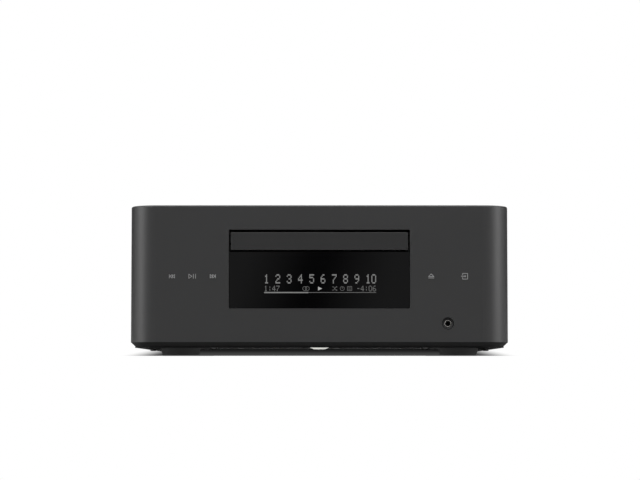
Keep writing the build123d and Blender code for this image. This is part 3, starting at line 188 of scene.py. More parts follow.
def metal(name, colour, roughness, stretch, grain=drawn_grain, depth=drawn_depth):
    """Metal with a drawn or ground grain along the stretched direction."""
    made, tree, shader = new_material(name, Metallic=1.0)
    fine = noise(tree, object_place(tree, stretch), grain, drawn_detail)
    colours = blended(tree, fine, shade(colour, drawn_dark_share), shade(colour, light_share))
    gloss = ranged(tree, fine, roughness - drawn_gloss_less, roughness + drawn_gloss_more)
    fill(tree, shader, Base_Color=colours, Roughness=gloss)
    relief(tree, shader, fine, depth)
    return made


# Finishes of the CAD nodes, one for each slot of the record, and of the pieces added here
charcoal, black, gold = (0.029, 0.029, 0.0294), (0.009, 0.009, 0.0095), (0.83, 0.62, 0.26)
door_charcoal, ring_black, skirt_black = shade(charcoal, 0.6), shade(black, 0.35), (0.0105, 0.0105, 0.0107)
even_grain = (1, 1, 1)
shine, coat = "Specular_IOR_Level", "Coat_Weight"


def tinted(name, socket, grain, dark, pale, **values):
    """A plain surface whose colour or light, as the socket says, varies a little."""
    made, tree, shader = new_material(name, **values)
    uneven = noise(tree, object_place(tree), grain)
    fill(tree, shader, **{socket: blended(tree, uneven, dark, pale)})
    return made


def circuit_board():
    """Green resist, paler and a little raised over the tracks."""
    resist, over_track = (0.012, 0.07, 0.035), (0.03, 0.15, 0.07)
    cell, narrow, wide, rise = 3 * mm, 0.05, 0.09, 0.03 * mm
    gloss_patch, glossy, matt = 2 * mm, 0.3, 0.42
    made, tree, shader = new_material("circuit_board", Specular_IOR_Level=0.5)
    place = object_place(tree)
    edges = output(tree, "ShaderNodeTexVoronoi", "Distance", {"feature": "DISTANCE_TO_EDGE"}, Vector=place,
                   Scale=1 / cell)
    track = ranged(tree, edges, 1.0, 0.0, narrow, wide)
    fill(tree, shader, Base_Color=blended(tree, track, resist, over_track),
         Roughness=ranged(tree, noise(tree, place, gloss_patch), glossy, matt))
    relief(tree, shader, track, rise)
    return made


def light_guide():
    """A frosted guide, brighter where it leaves the skirt than along its lower edge, where painted shade
    darkens its colour and its light.
    """
    frost_size, frost_dark, frost_depth = 0.4 * mm, 0.9, 0.02 * mm
    edge_low, edge_high = 4.75 * mm, 5.2 * mm
    shaded_edge_colour, face_colour = grey(0.1), (0.6, 0.6, 0.57)
    shaded_edge_light, face_light = grey(0.02), (1, 1, 0.95)
    made, tree, shader = new_material("light_guide", Roughness=0.35, Emission_Strength=0.5)
    place = object_place(tree)
    frost = noise(tree, place, frost_size)
    # Painted shade: below 5.2 mm the guide's colour and light fade to dark along its lower edge.
    drop = ranged(tree, split_place(tree, place)["Z"], 0.0, 1.0, edge_low, edge_high)
    lit = times(tree, ranged(tree, frost, frost_dark, 1.0), drop)
    fill(tree, shader, Base_Color=blended(tree, drop, shaded_edge_colour, face_colour),
         Emission_Color=blended(tree, lit, shaded_edge_light, face_light))
    relief(tree, shader, frost, frost_depth)
    return made


def skirt_moulding():
    """Matt black moulding with a fine grain, and painted shade that darkens the lip under its slope."""
    grain_size, grain_dark, grain_depth = 0.5 * mm, 0.9, 0.02 * mm
    lip_low, lip_high, lip_painted_shade = 7.1 * mm, 7.5 * mm, 0.2
    glossy, matt = 0.6, 0.7
    made, tree, shader = new_material("skirt_moulding", Specular_IOR_Level=0.15)
    place = object_place(tree)
    grain = noise(tree, place, grain_size)
    # Painted shade: the lip under the slope darkens to a fifth of the moulding's black.
    lip = ranged(tree, split_place(tree, place)["Z"], lip_painted_shade, 1.0, lip_low, lip_high)
    grain_and_painted_shade = times(tree, ranged(tree, grain, grain_dark, 1.0), lip)
    fill(tree, shader, Base_Color=blended(tree, grain_and_painted_shade, grey(0), skirt_black),
         Roughness=ranged(tree, grain, glossy, matt))
    relief(tree, shader, grain, grain_depth)
    return made


def phono_socket():
    """Gold plate outside the rear panel, and the socket block's black plastic behind it."""
    plate_roughness, block_black = 0.2, grey(0.012)
    block_end, plate_start = 127.2 * mm, 127.3 * mm
    made = metal("phono_plate", gold, plate_roughness, even_grain)
    tree = made.node_tree
    outside = ranged(tree, split_place(tree, object_place(tree))["Y"], 0.0, 1.0, block_end, plate_start)
    fill(tree, tree.nodes["Principled BSDF"], Base_Color=blended(tree, outside, block_black, gold),
         Metallic=outside)
    return made


# Moulded, painted and rubber finishes: colour, roughness, the grain's size and depth in mm, other values
moulded_finishes = {
    "shell_moulding": (charcoal, 0.42, 0.25, 0.004, (shine, 0.4)),
    "door_moulding": (door_charcoal, 0.42, 0.25, 0.004, (shine, 0.4)),
    "gloss_top": (black, 0.07, 0.6, 0.0003),
    "black_steel": ((0.036, 0.036, 0.037), 0.5, 0.4, 0.03),
    "inner_moulding": (grey(0.006), 0.6, 0.3, 0.01),
    "window_black": ((0.0012, 0.0012, 0.0014), 0.05, 2, 0.0001),
    "display_panel": ((0.01, 0.01, 0.012), 0.12, 1, 0.0005),
    "jack_ring": (ring_black, 0.5, 0.25, 0.005, (shine, 0.2)),
    "liner_black": (grey(0.002), 0.5, 0.3, 0.005, (shine, 0.3)),
    "tray_moulding": ((0.02, 0.02, 0.021), 0.5, 0.4, 0.015),
    "felt": (grey(0.004), 0.9, 0.3, 0.02, (shine, 0.05)),
    "nylon": (grey(0.02), 0.45, 0.5, 0.01),
    "belt_rubber": (grey(0.015), 0.7, 0.2, 0.01),
    "mechanism_moulding": ((0.03, 0.03, 0.032), 0.5, 0.6, 0.02),
    "grommet_rubber": (grey(0.03), 0.75, 0.3, 0.01),
    "lens_glass": ((0.1, 0.16, 0.3), 0.04, 1, 0.0001, (coat, 1.0)),
    "ferrite": ((0.06, 0.055, 0.045), 0.7, 0.5, 0.03),
    "chip_black": ((0.012, 0.012, 0.013), 0.4, 0.3, 0.01),
    "part_tan": ((0.32, 0.24, 0.15), 0.45, 0.3, 0.01),
    "terminal_moulding": (black, 0.3, 0.4, 0.006),
    "cap_red": ((0.42, 0.015, 0.012), 0.22, 0.6, 0.002, (coat, 0.5)),
    "cap_black": (grey(0.012), 0.22, 0.6, 0.002, (coat, 0.5)),
    "white_plastic": ((0.62, 0.62, 0.6), 0.35, 0.4, 0.004),
    "red_plastic": ((0.45, 0.02, 0.018), 0.3, 0.4, 0.004),
    "green_light": ((0.02, 0.2, 0.04), 0.25, 0.4, 0.002),
    "amber_light": ((0.4, 0.16, 0.01), 0.25, 0.4, 0.002),
    "foot_rubber": (grey(0.04), 0.8, 0.5, 0.03),
}
# Metals: colour, roughness, the stretch of the grain, and where they differ its size and depth
metal_finishes = {
    "dark_screw": (grey(0.07), 0.35, even_grain),
    "nickel": ((0.62, 0.6, 0.57), 0.2, even_grain),
    "brass_pulley": ((0.72, 0.55, 0.26), 0.28, (1, 1, 12)),
    "motor_steel": ((0.52, 0.52, 0.53), 0.32, (1, 1, 20)),
    "zinc_steel": ((0.5, 0.5, 0.52), 0.38, (1, 8, 1), 0.8 * mm),
    "bright_steel": ((0.65, 0.65, 0.66), 0.18, (12, 1, 12)),
    "pickup_casting": ((0.3, 0.3, 0.31), 0.5, even_grain, 0.7 * mm, 0.03 * mm),
    "sink_aluminium": ((0.56, 0.56, 0.57), 0.35, (1, 1, 0.05)),
    "winding_copper": ((0.62, 0.3, 0.14), 0.3, (1, 30, 1), 0.5 * mm, 0.05 * mm),
    "gold_plate": (gold, 0.2, even_grain),
    "contact_gold": (gold, 0.22, (1, 8, 1)),
    "socket_shell": ((0.62, 0.62, 0.63), 0.3, (1, 10, 1)),
    "pin_brass": ((0.66, 0.64, 0.6), 0.25, (1, 10, 1)),
}


def make_finishes():
    made = {
        "skirt_moulding": skirt_moulding(),
        "circuit_board": circuit_board(),
        "light_guide": light_guide(),
        "phono_plate": phono_socket(),
    }
    for name, (colour, roughness, grain, depth, *others) in moulded_finishes.items():
        made[name] = moulded(name, colour, roughness, grain * mm, depth * mm, **dict(others))
    for name, values in metal_finishes.items():
        made[name] = metal(name, *values)
    return made


finishes = make_finishes()
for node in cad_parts.values():
    for place in node.material_slots:
        place.material = finishes[place.material.name]


# Flat printed and lit signs
def flat_sign(name, outlines, y, finish, facing=-1, body="cabinet"):
    """A flat sign of (x, z) outlines at the depth y, which faces the front, or the back with facing 1."""
    mesh = bpy.data.meshes.new(name)
    shape = bmesh.new()
    for outline in outlines:
        corners = [shape.verts.new((x, y, z)) for x, z in outline]
        face = shape.faces.new(corners)
        face.normal_update()
        if face.normal.y * facing < 0:
            face.normal_flip()
    shape.to_mesh(mesh)
    shape.free()
    sign = placed(name, mesh)
    mesh.materials.append(finish)
    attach(sign, body)


def bar(x0, z0, x1, z1):
    return [(x0, z0), (x1, z0), (x1, z1), (x0, z1)]


def stroke(points, thickness, closed=False):
    """Quads of one thickness along a chain of points."""
    quads = []
    count = len(points)
    for i in range(count if closed else count - 1):
        start = Vector(points[i])
        end = Vector(points[(i + 1) % count])
        along = (end - start).normalized() * thickness / 2
        side = Vector((-along.y, along.x))
        tail, tip = start - along, end + along
        quads.append([tuple(tail + side), tuple(tail - side), tuple(tip - side), tuple(tip + side)])
    return quads


def shifted(outlines, x, z):
    return [[(px + x, pz + z) for px, pz in outline] for outline in outlines]


sign_lift = 0.02 * mm
line = 0.42 * mm


def skip_sign(way):
    """Two thin triangles and an upright line, pointing to way (+1 right, -1 left)."""
    starts, reach, half, end = (-2.2 * mm, -0.15 * mm), 2.2 * mm, 1.45 * mm, 2.25 * mm
    quads = []
    for start in starts:
        quads += stroke([(start, half), (start, -half), (start + reach, 0)], line, True)
    quads += stroke([(end, half), (end, -half)], line)
    return [[(x * way, z) for x, z in quad] for quad in quads]


def play_pause_sign():
    back, tip, half, bars = -2.9 * mm, -0.3 * mm, 1.75 * mm, (0.95 * mm, 2.75 * mm)
    quads = stroke([(back, half), (back, -half), (tip, 0)], line, True)
    for x in bars:
        quads += stroke([(x, half), (x, -half)], line)
    return quads


def eject_sign():
    half, base, tip, under = 2.3 * mm, -0.35 * mm, 2.0 * mm, -1.45 * mm
    quads = stroke([(-half, base), (half, base), (0, tip)], line, True)
    return quads + stroke([(-half, under), (half, under)], line)


def input_sign():
    """An arrow into a frame that is open on its left."""
    left, right, half, gap = -1.6 * mm, 2.6 * mm, 2.4 * mm, 0.9 * mm
    tail, neck, barb, tip, barb_half = -2.7 * mm, 0.4 * mm, 0.2 * mm, 1.3 * mm, 0.95 * mm
    frame_line = [(left, gap), (left, half), (right, half), (right, -half), (left, -half), (left, -gap)]
    quads = stroke(frame_line, line) + stroke([(tail, 0), (neck, 0)], line)
    return quads + [[(barb, barb_half), (barb, -barb_half), (tip, 0)]]


key_z, key_size_share = 58.5 * mm, 0.87
key_signs = {
    "previous_key_sign": (-108.4 * mm, skip_sign(-1)),
    "play_key_sign": (-93.5 * mm, play_pause_sign()),
    "next_key_sign": (-78.4 * mm, skip_sign(1)),
    "eject_key_sign": (82.2 * mm, eject_sign()),
    "input_key_sign": (106.7 * mm, input_sign()),
}
ink_grain, dark_ink, pale_ink = 0.3 * mm, grey(0.34), grey(0.42)
ink = tinted("key_ink", "Base_Color", ink_grain, dark_ink, pale_ink, Roughness=0.5)
for name, (x, outlines) in key_signs.items():
    smaller = [[(px * key_size_share, pz * key_size_share) for px, pz in outline] for outline in outlines]
    flat_sign(name, shifted(smaller, x, key_z), front_y - sign_lift, ink)


# Lit signs of the display: digits of 5 by 7 dots, and plain symbols
digit_rows = {
    "0": "01110 10001 10001 10001 10001 10001 01110",
    "1": "00100 01100 00100 00100 00100 00100 01110",
    "2": "01110 10001 00001 00110 01000 10000 11111",
    "3": "01110 10001 00001 00110 00001 10001 01110",
    "4": "00010 00110 01010 10010 11111 00010 00010",
    "5": "11111 10000 11110 00001 00001 10001 01110",
    "6": "00110 01000 10000 11110 10001 10001 01110",
    "7": "11111 00001 00010 00100 01000 01000 01000",
    "8": "01110 10001 10001 01110 10001 10001 01110",
    "9": "01110 10001 10001 01111 00001 00010 01100",
    ":": "00000 00100 00100 00000 00100 00100 00000",
    "-": "00000 00000 00000 01110 00000 00000 00000",
    " ": "00000 00000 00000 00000 00000 00000 00000",
}
digit_columns, digit_lines = 5, 7


def dot_text(text, left, low, high, pitch):
    """Dots of a line of digits between the heights low and high, a digit to each pitch."""
    dot_width = pitch / (digit_columns + 1)
    dot_height = (high - low) / digit_lines
    dots = []
    for place, digit in enumerate(text):
        for line_index, row in enumerate(digit_rows[digit].split()):
            top = high - line_index * dot_height
            for column, lit in enumerate(row):
                if lit == "1":
                    x = left + place * pitch + column * dot_width
                    dots.append(bar(x, top - dot_height, x + dot_width, top))
    return dots


def lit_material(name, strength):
    """A pale light that is a little uneven, as a display's dots are."""
    lit_white, unlit, grain, dim_share = (0.9, 0.9, 0.88), grey(0.02), 1.5 * mm, 0.85
    return tinted(name, "Emission_Color", grain, shade(lit_white, dim_share), shade(lit_white, light_share),
                  Roughness=0.4, Emission_Strength=strength, Base_Color=(*unlit, 1))


sign_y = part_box("display_window")[0].y - sign_lift
strengths = {"title_light": 0.19, "small_light": 0.1, "bright_light": 0.42}
title_light, small_light, bright_light = [lit_material(*light) for light in strengths.items()]


def crossing_sign(thin):
    """Two lines that cross and end in arrow tips."""
    half, reach, tip = 1.2 * mm, 1.7 * mm, 0.6 * mm
    quads = []
    for way in (1, -1):
        quads += stroke([(-reach, way * half), (-reach / 2, way * half), (reach / 2, -way * half),
                         (reach, -way * half)], thin)
        quads.append([(reach - tip, tip - way * half), (reach - tip, -tip - way * half),
                      (reach + tip / 2, -way * half)])
    return quads


def list_sign(thin):
    """A frame with two lines in it."""
    half_width, half = 1.6 * mm, 1.5 * mm
    frame_line = [(-half_width, -half), (half_width, -half), (half_width, half), (-half_width, half)]
    quads = stroke(frame_line, thin, True)
    for z in (-half / 3, half / 3):
        quads += stroke([(-half_width / 2, z), (half_width / 2, z)], thin)
    return quads


def clock_sign(thin, ring):
    """A ring with one hand that points up."""
    hand = 0.9 * mm
    return stroke(ring, thin, True) + stroke([(0, 0), (0, hand)], thin)


def display_signs():
    """Track numbers, two times, small plain symbols and a bar for what is played."""
    left, played_end, right = -40.6 * mm, -8.2 * mm, 41.7 * mm
    title_low, title_high, title_pitch = 53.2 * mm, 60.0 * mm, 4.15 * mm
    low, high, pitch, remaining_left = 47.4 * mm, 51.6 * mm, 2.95 * mm, 27.4 * mm
    thin, radius, ring_steps = 0.35 * mm, 1.5 * mm, 12
    turns = [tau * i / ring_steps for i in range(ring_steps)]
    ring = [(radius * cos(turn), radius * sin(turn)) for turn in turns]
    symbols = (
        (stroke(ring, thin, True), -10.8 * mm),
        (stroke(ring, thin, True), -8.9 * mm),
        (crossing_sign(thin), 11.3 * mm),
        (clock_sign(thin, ring), 16.8 * mm),
        (list_sign(thin), 22.2 * mm),
    )
    play_back, play_tip, play_half = -1.0 * mm, 2.0 * mm, 1.4 * mm
    played_low, played_high, ahead_low, ahead_high = 46.1 * mm, 47.0 * mm, 46.35 * mm, 46.8 * mm
    middle = (low + high) / 2
    small = dot_text("1:47", left, low, high, pitch) + dot_text("-4:06", remaining_left, low, high, pitch)
    for symbol, x in symbols:
        small += shifted(symbol, x, middle)
    play = [(play_back, middle + play_half), (play_back, middle - play_half), (play_tip, middle)]
    signs = {
        "display_track_numbers": (dot_text("1 2 3 4 5 6 7 8 9 10", left, title_low, title_high, title_pitch),
                                  title_light),
        "display_small_signs": (small, small_light),
        "display_play_sign": ([play], bright_light),
        "display_played_bar": ([bar(left, played_low, played_end, played_high)], title_light),
        "display_rest_bar": ([bar(played_end, ahead_low, right, ahead_high)], small_light),
    }
    for name, (outlines, light) in signs.items():
        flat_sign(name, outlines, sign_y, light)


display_signs()


# Solid pieces
weld, crease = 0.001 * mm, radians(35)
around, rounding_steps, round_profile = 32, 2, 0.5


def carried(name, mesh, finish, body):
    """The mesh as a piece with one finish that rides on the body."""
    mesh.materials.clear()
    mesh.materials.append(finishes[finish])
    mesh.shade_smooth()
    mesh.set_sharp_from_angle(angle=crease)
    made = placed(name, mesh)
    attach(made, body)
    return made


def solid(name, shape, finish, body="cabinet"):
    """The shape as a piece, with its doubles merged and its faces outwards."""
    bmesh.ops.remove_doubles(shape, verts=shape.verts, dist=weld)
    bmesh.ops.recalc_face_normals(shape, faces=shape.faces)
    mesh = bpy.data.meshes.new(name)
    shape.to_mesh(mesh)
    shape.free()
    return carried(name, mesh, finish, body)


def join_rings(shape, rings):
    """Faces from each ring of corners to the next, and from the last one to the first."""
    for ring, following in zip(rings, rings[1:] + rings[:1]):
        for corner in range(len(ring)):
            onward = (corner + 1) % len(ring)
            shape.faces.new((ring[corner], ring[onward], following[onward], following[corner]))


def turned(shape, profile, centre, facing):
    """A body of revolution: a closed profile of (radius, along) points about an axis through the centre."""
    turn = Vector(facing).to_track_quat("Z", "Y").to_matrix()
    rings = []
    for radius, along in profile:
        ring = []
        for step in range(around):
            angle = tau * step / around
            point = Vector((radius * cos(angle), radius * sin(angle), along))
            ring.append(shape.verts.new(Vector(centre) + turn @ point))
        rings.append(ring)
    join_rings(shape, rings)


def block(shape, low, high, rounding):
    """A block between two corners, its edges rounded."""
    middle = (Vector(low) + Vector(high)) / 2
    size = Vector(high) - Vector(low)
    placing = Matrix.Translation(middle) @ Matrix.Diagonal((*size, 1))
    made = bmesh.ops.create_cube(shape, size=1, matrix=placing)
    edges = list(dict.fromkeys(edge for corner in made["verts"] for edge in corner.link_edges))
    bmesh.ops.bevel(shape, geom=edges, offset=rounding, segments=rounding_steps, profile=round_profile,
                    affect="EDGES")


def strip(shape, start, end, width, thickness):
    """A flat strip along a line in the YZ plane."""
    start, end = Vector(start), Vector(end)
    along = (end - start).normalized()
    across = Vector((width / 2, 0, 0))
    up = along.cross(Vector((1, 0, 0))) * thickness / 2
    ends = [[shape.verts.new(point + a * across + b * up) for a, b in ((-1, -1), (1, -1), (1, 1), (-1, 1))]
            for point in (start, end)]
    shape.faces.new(ends[0])
    shape.faces.new(ends[1])
    for corner in range(4):
        onward = (corner + 1) % 4
        shape.faces.new((ends[0][corner], ends[0][onward], ends[1][onward], ends[1][corner]))


# Geometry Nodes for what repeats: the places are points that say which way they face and how far they reach
def new_tree(name, *sizes):
    """A tree with a named input for each size, and one for its finish."""
    tree = bpy.data.node_groups.new(name, "GeometryNodeTree")
    tree.interface.new_socket("Places", in_out="INPUT", socket_type="NodeSocketGeometry")
    for size in sizes:
        tree.interface.new_socket(size, in_out="INPUT", socket_type="NodeSocketFloat")
    tree.interface.new_socket("Finish", in_out="INPUT", socket_type="NodeSocketMaterial")
    tree.interface.new_socket("Piece", in_out="OUTPUT", socket_type="NodeSocketGeometry")
    return tree, tree.nodes.new("NodeGroupInput").outputs


def end_tree(tree, given, *parts):
    """Joins the parts, makes their copies real and gives them the finish."""
    joined = tree.nodes.new("GeometryNodeJoinGeometry")
    for part in parts:
        tree.links.new(part, joined.inputs["Geometry"])
    real = output(tree, "GeometryNodeRealizeInstances", "Geometry", Geometry=joined.outputs["Geometry"])
    painted = output(tree, "GeometryNodeSetMaterial", "Geometry", Geometry=real, Material=given["Finish"])
    add_node(tree, "NodeGroupOutput", Piece=painted)
    return tree


def vector_of(tree, **parts):
    return output(tree, "ShaderNodeCombineXYZ", "Vector", **parts)


def moved(tree, geometry, **parts):
    shift = vector_of(tree, **parts)
    return output(tree, "GeometryNodeTransform", "Geometry", Geometry=geometry, Translation=shift)


def stored(tree, name, kind):
    """What a place says of itself under the name."""
    return output(tree, "GeometryNodeInputNamedAttribute", "Attribute", {"data_type": kind}, Name=name)


def set_out(tree, given, pattern, size=(1, 1, 1)):
    """A copy of the pattern at each place, its Z turned the way that the place faces."""
    facing = stored(tree, "facing", "FLOAT_VECTOR")
    turn = output(tree, "FunctionNodeAlignRotationToVector", "Rotation", {"axis": "Z"}, Vector=facing)
    return output(tree, "GeometryNodeInstanceOnPoints", "Instances", Points=given["Places"], Instance=pattern,
                  Rotation=turn, Scale=size)


def cylinder(tree, radius, depth, sides=around, steps=1):
    return output(tree, "GeometryNodeMeshCylinder", "Mesh", Vertices=sides, Side_Segments=steps,
                  Radius=radius, Depth=depth)


def cut_out(tree, whole, *cutters):
    """The whole without the cutters."""
    made = add_node(tree, "GeometryNodeMeshBoolean", {"operation": "DIFFERENCE"}, Mesh_1=whole)
    for cutter in cutters:
        tree.links.new(cutter, made.inputs["Mesh 2"])
    return made.outputs["Mesh"]


def screw_tree():
    """Pan-head screws with a cross recess. A place's reach is the length of its shank."""
    sizes = ("Head Radius", "Head Height", "Shank Radius", "Recess Width", "Recess Depth")
    tree, given = new_tree("pan_head_screws", *sizes)
    height, width = given["Head Height"], given["Recess Width"]
    head = cylinder(tree, given["Head Radius"], height, screw_sides, screw_steps)
    axes = split_place(tree, output(tree, "GeometryNodeInputPosition", "Position"))
    rise = calculated(tree, "ADD", calculated(tree, "DIVIDE", axes["Z"], height), 0.5)
    narrowing = ranged(tree, calculated(tree, "POWER", rise, crown_power), 1.0, crown_share)
    crown = vector_of(tree, X=times(tree, axes["X"], narrowing), Y=times(tree, axes["Y"], narrowing),
                      Z=times(tree, rise, height))
    crowned = output(tree, "GeometryNodeSetPosition", "Geometry", Geometry=head, Position=crown)
    length = times(tree, given["Head Radius"], recess_share)
    depth = times(tree, given["Recess Depth"], 2)
    recess = []
    for x, y in ((length, width), (width, length)):
        slit = output(tree, "GeometryNodeMeshCube", "Mesh", Size=vector_of(tree, X=x, Y=y, Z=depth))
        recess.append(moved(tree, slit, Z=height))
    heads = set_out(tree, given, cut_out(tree, crowned, *recess))
    shank = cylinder(tree, given["Shank Radius"], 1, screw_sides)
    stretch = vector_of(tree, X=1, Y=1, Z=stored(tree, "reach", "FLOAT"))
    shanks = set_out(tree, given, moved(tree, shank, Z=-0.5), stretch)
    return end_tree(tree, given, heads, shanks)


def ring_tree():
    """Flat rings that stand on their places."""
    tree, given = new_tree("flat_rings", "Inner Radius", "Outer Radius", "Height")
    height = given["Height"]
    full = cylinder(tree, given["Outer Radius"], height)
    hole = cylinder(tree, given["Inner Radius"], times(tree, height, 2))
    raised = moved(tree, cut_out(tree, full, hole), Z=times(tree, height, 0.5))
    return end_tree(tree, given, set_out(tree, given, raised))


def small_part_tree():
    """Small square parts strewn over a board with a fixed seed, none nearer than the spacing."""
    tree, given = new_tree("small_parts", "Spacing", "Least Side", "Most Side", "Rise")
    spread = output(tree, "GeometryNodeDistributePointsOnFaces", "Points", {"distribute_method": "POISSON"},
                    Mesh=given["Places"], Distance_Min=given["Spacing"], Density_Max=part_density,
                    Seed=part_seed)
    least, most, rise = given["Least Side"], given["Most Side"], given["Rise"]
    size = output(tree, "FunctionNodeRandomValue", "Value", {"data_type": "FLOAT_VECTOR"},
                  Min=vector_of(tree, X=least, Y=least, Z=times(tree, rise, 0.5)),
                  Max=vector_of(tree, X=most, Y=most, Z=rise), Seed=part_seed)
    cube = moved(tree, output(tree, "GeometryNodeMeshCube", "Mesh"), Z=0.5)
    copies = output(tree, "GeometryNodeInstanceOnPoints", "Instances", Points=spread, Instance=cube,
                    Scale=size)
    return end_tree(tree, given, copies)


def points_mesh(name, places):
    """A mesh of bare points, each given as its place, the way it faces and its reach."""
    mesh = bpy.data.meshes.new(name)
    mesh.from_pydata([point for point, facing, reach in places], [], [])
    ways = mesh.attributes.new("facing", "FLOAT_VECTOR", "POINT")
    ways.data.foreach_set("vector", [part for point, facing, reach in places for part in facing])
    reaches = mesh.attributes.new("reach", "FLOAT", "POINT")
    reaches.data.foreach_set("value", [reach for point, facing, reach in places])
    return mesh


def grown(name, tree, places, sizes, finish, body="cabinet"):
    """What the tree makes of a mesh of places, as a plain mesh that rides on the body."""
    carrier = placed(name + "_places", places)
    maker = carrier.modifiers.new("maker", "NODES")
    maker.node_group = tree
    wanted = {**sizes, "Finish": finishes[finish]}
    for entry in tree.interface.items_tree:
        if entry.name in wanted:
            maker[entry.identifier] = wanted[entry.name]
    evaluated = carrier.evaluated_get(bpy.context.evaluated_depsgraph_get())
    mesh = bpy.data.meshes.new_from_object(evaluated)
    mesh.name = name
    carrier.modifiers.remove(maker)
    bpy.data.objects.remove(carrier)
    return carried(name, mesh, finish, body)


screw_sides, screw_steps = 24, 6
crown_power, crown_share, recess_share = 3, 0.62, 1.15
part_density, part_seed = 200000, 7
upwards, downwards, backwards, forwards = (0, 0, 1), (0, 0, -1), (0, 1, 0), (0, -1, 0)
cabinet_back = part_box("rear_panel")[1].y
rings = ring_tree()


# Fasteners
def both_sides(x, y, z):
    return [(-x, y, z), (x, y, z)]


def case_screws():
    seat, foot_seat, leg_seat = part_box("base_skirt")[0].z, 2.6 * mm, 12.4 * mm
    under_reach, foot_reach, leg_reach, back_reach = 4.2 * mm, 7.8 * mm, 4 * mm, 6 * mm
    under = [(78, -140.5), (129, -60), (129, 60), (62, 122.3)]
    feet = [(104, -115), (104, 90)]
    legs = [(75.6, -124), (75.6, 35)]
    back = [(133, 34), (133, 84), (50, 101.4)]
    places = []
    groups = (
        (under, downwards, seat, under_reach),
        (feet, downwards, foot_seat, foot_reach),
        (legs, upwards, leg_seat, leg_reach),
    )
    for spots, facing, z, reach in groups:
        for x, y in spots:
            places += [(point, facing, reach) for point in both_sides(x * mm, y * mm, z)]
    for x, z in back:
        places += [(point, backwards, back_reach) for point in both_sides(x * mm, cabinet_back, z * mm)]
    sizes = {"Head Radius": 2.8 * mm, "Head Height": 1.6 * mm, "Shank Radius": 1.3 * mm,
             "Recess Width": 0.7 * mm, "Recess Depth": 0.9 * mm}
    made = grown("cross_head_screws", screw_tree(), points_mesh("screw_places", places), sizes, "dark_screw")
    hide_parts("case_screws")


case_screws()


# Headphone socket
def jack_liner():
    """Black insulation that lines the socket, with a lip on its nose."""
    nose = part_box("headphone_jack")[0].y
    x, z, depth, end = 94.4 * mm, 23.8 * mm, 14.5 * mm, 0.3 * mm
    inner, outer, lip, proud = 1.75 * mm, 1.79 * mm, 2.1 * mm, 0.12 * mm
    profile = [(inner, proud), (lip, proud), (lip, 0), (outer, 0), (outer, -depth), (0, -depth),
               (0, end - depth), (inner, end - depth)]
    shape = bmesh.new()
    turned(shape, profile, (x, nose, z), forwards)
    solid("headphone_socket_liner", shape, "liner_black")


jack_liner()


# Rear sockets
def middle_of(low, high, axes="xz"):
    """The middle of a box along some axes."""
    return [(getattr(low, axis) + getattr(high, axis)) / 2 for axis in axes]


def phono_rings():
    """Coloured washers on the panel and rings on the sleeves' ends, one colour to each row."""
    low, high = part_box("phono_jacks")
    margin, pitch_x, pitch_z, count = 6 * mm, 14 * mm, 18 * mm, 3
    columns = [low.x + margin + pitch_x * i for i in range(count)]
    washer = {"Inner Radius": 4.2 * mm, "Outer Radius": 5.8 * mm, "Height": 0.8 * mm}
    insulator = {"Inner Radius": 2.1 * mm, "Outer Radius": 3.5 * mm, "Height": 0.12 * mm}
    for row, colour in enumerate(("white", "red")):
        z = high.z - margin - row * pitch_z
        for kind, y, sizes in (("washer", cabinet_back, washer), ("insulator", high.y, insulator)):
            places = points_mesh(f"{kind}_places", [((x, y, z), backwards, 0) for x in columns])
            grown(f"phono_{kind}s_{colour}", rings, places, sizes, f"{colour}_plastic")


def aerial_fittings():
    """The threads, the nut and the white insulator of the screw-on aerial socket."""
    low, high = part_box("aerial_socket")
    x, z = middle_of(low, high)
    sleeve, pitch, turns, first = 4.7 * mm, 0.85 * mm, 7, 2.6 * mm
    sunk, proud, thread_height = 0.02 * mm, 0.22 * mm, 0.4 * mm
    places = [((x, cabinet_back + first + pitch * i, z), backwards, 0) for i in range(turns)]
    thread = {"Inner Radius": sleeve - sunk, "Outer Radius": sleeve + proud, "Height": thread_height}
    grown("aerial_threads", rings, points_mesh("thread_places", places), thread, "nickel")
    insulator = {"Inner Radius": 1.1 * mm, "Outer Radius": 3.3 * mm, "Height": 0.1 * mm}
    end = points_mesh("aerial_end", [((x, high.y, z), backwards, 0)])
    grown("aerial_insulator", rings, end, insulator, "white_plastic")
    flats, nut_radius, nut_height, chamfer = 6, 5.9 * mm, 2.2 * mm, 0.3 * mm
    profile = [(sleeve, 0), (nut_radius, 0), (nut_radius, nut_height - chamfer),
               (nut_radius - chamfer, nut_height), (sleeve, nut_height)]
    angles = [tau * flat / flats for flat in range(flats)]
    shape = bmesh.new()
    nut_rings = []
    for radius, along in profile:
        y = cabinet_back + along
        corners = [(x + radius * cos(angle), y, z + radius * sin(angle)) for angle in angles]
        nut_rings.append([shape.verts.new(corner) for corner in corners])
    join_rings(shape, nut_rings)
    solid("aerial_nut", shape, "nickel")


def network_fittings():
    """Eight spring contacts in the socket's mouth, and its two signal lights."""
    low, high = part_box("network_socket")
    middle = middle_of(low, high, "x")[0]
    contacts, pitch, width, thickness = 8, 1.02 * mm, 0.45 * mm, 0.2 * mm
    front, rear, top, drop = 1.5 * mm, 9 * mm, 4 * mm, 3.6 * mm
    shape = bmesh.new()
    for i in range(contacts):
        x = middle + (i - (contacts - 1) / 2) * pitch
        strip(shape, (x, high.y - front, high.z - top), (x, high.y - rear, high.z - top - drop), width,
              thickness)
    solid("network_contacts", shape, "contact_gold")
    light_width, light_height, light_drop, light_side = 2.2 * mm, 1.3 * mm, 1.8 * mm, 4.6 * mm
    proud, sunk, rounding = 0.1 * mm, 1 * mm, 0.15 * mm
    z = high.z - light_drop
    for side, colour in ((-1, "green"), (1, "amber")):
        x = middle + side * light_side
        shape = bmesh.new()
        block(shape, (x - light_width / 2, high.y - sunk, z - light_height / 2),
              (x + light_width / 2, high.y + proud, z + light_height / 2), rounding)
        solid(f"network_light_{colour}", shape, f"{colour}_light")


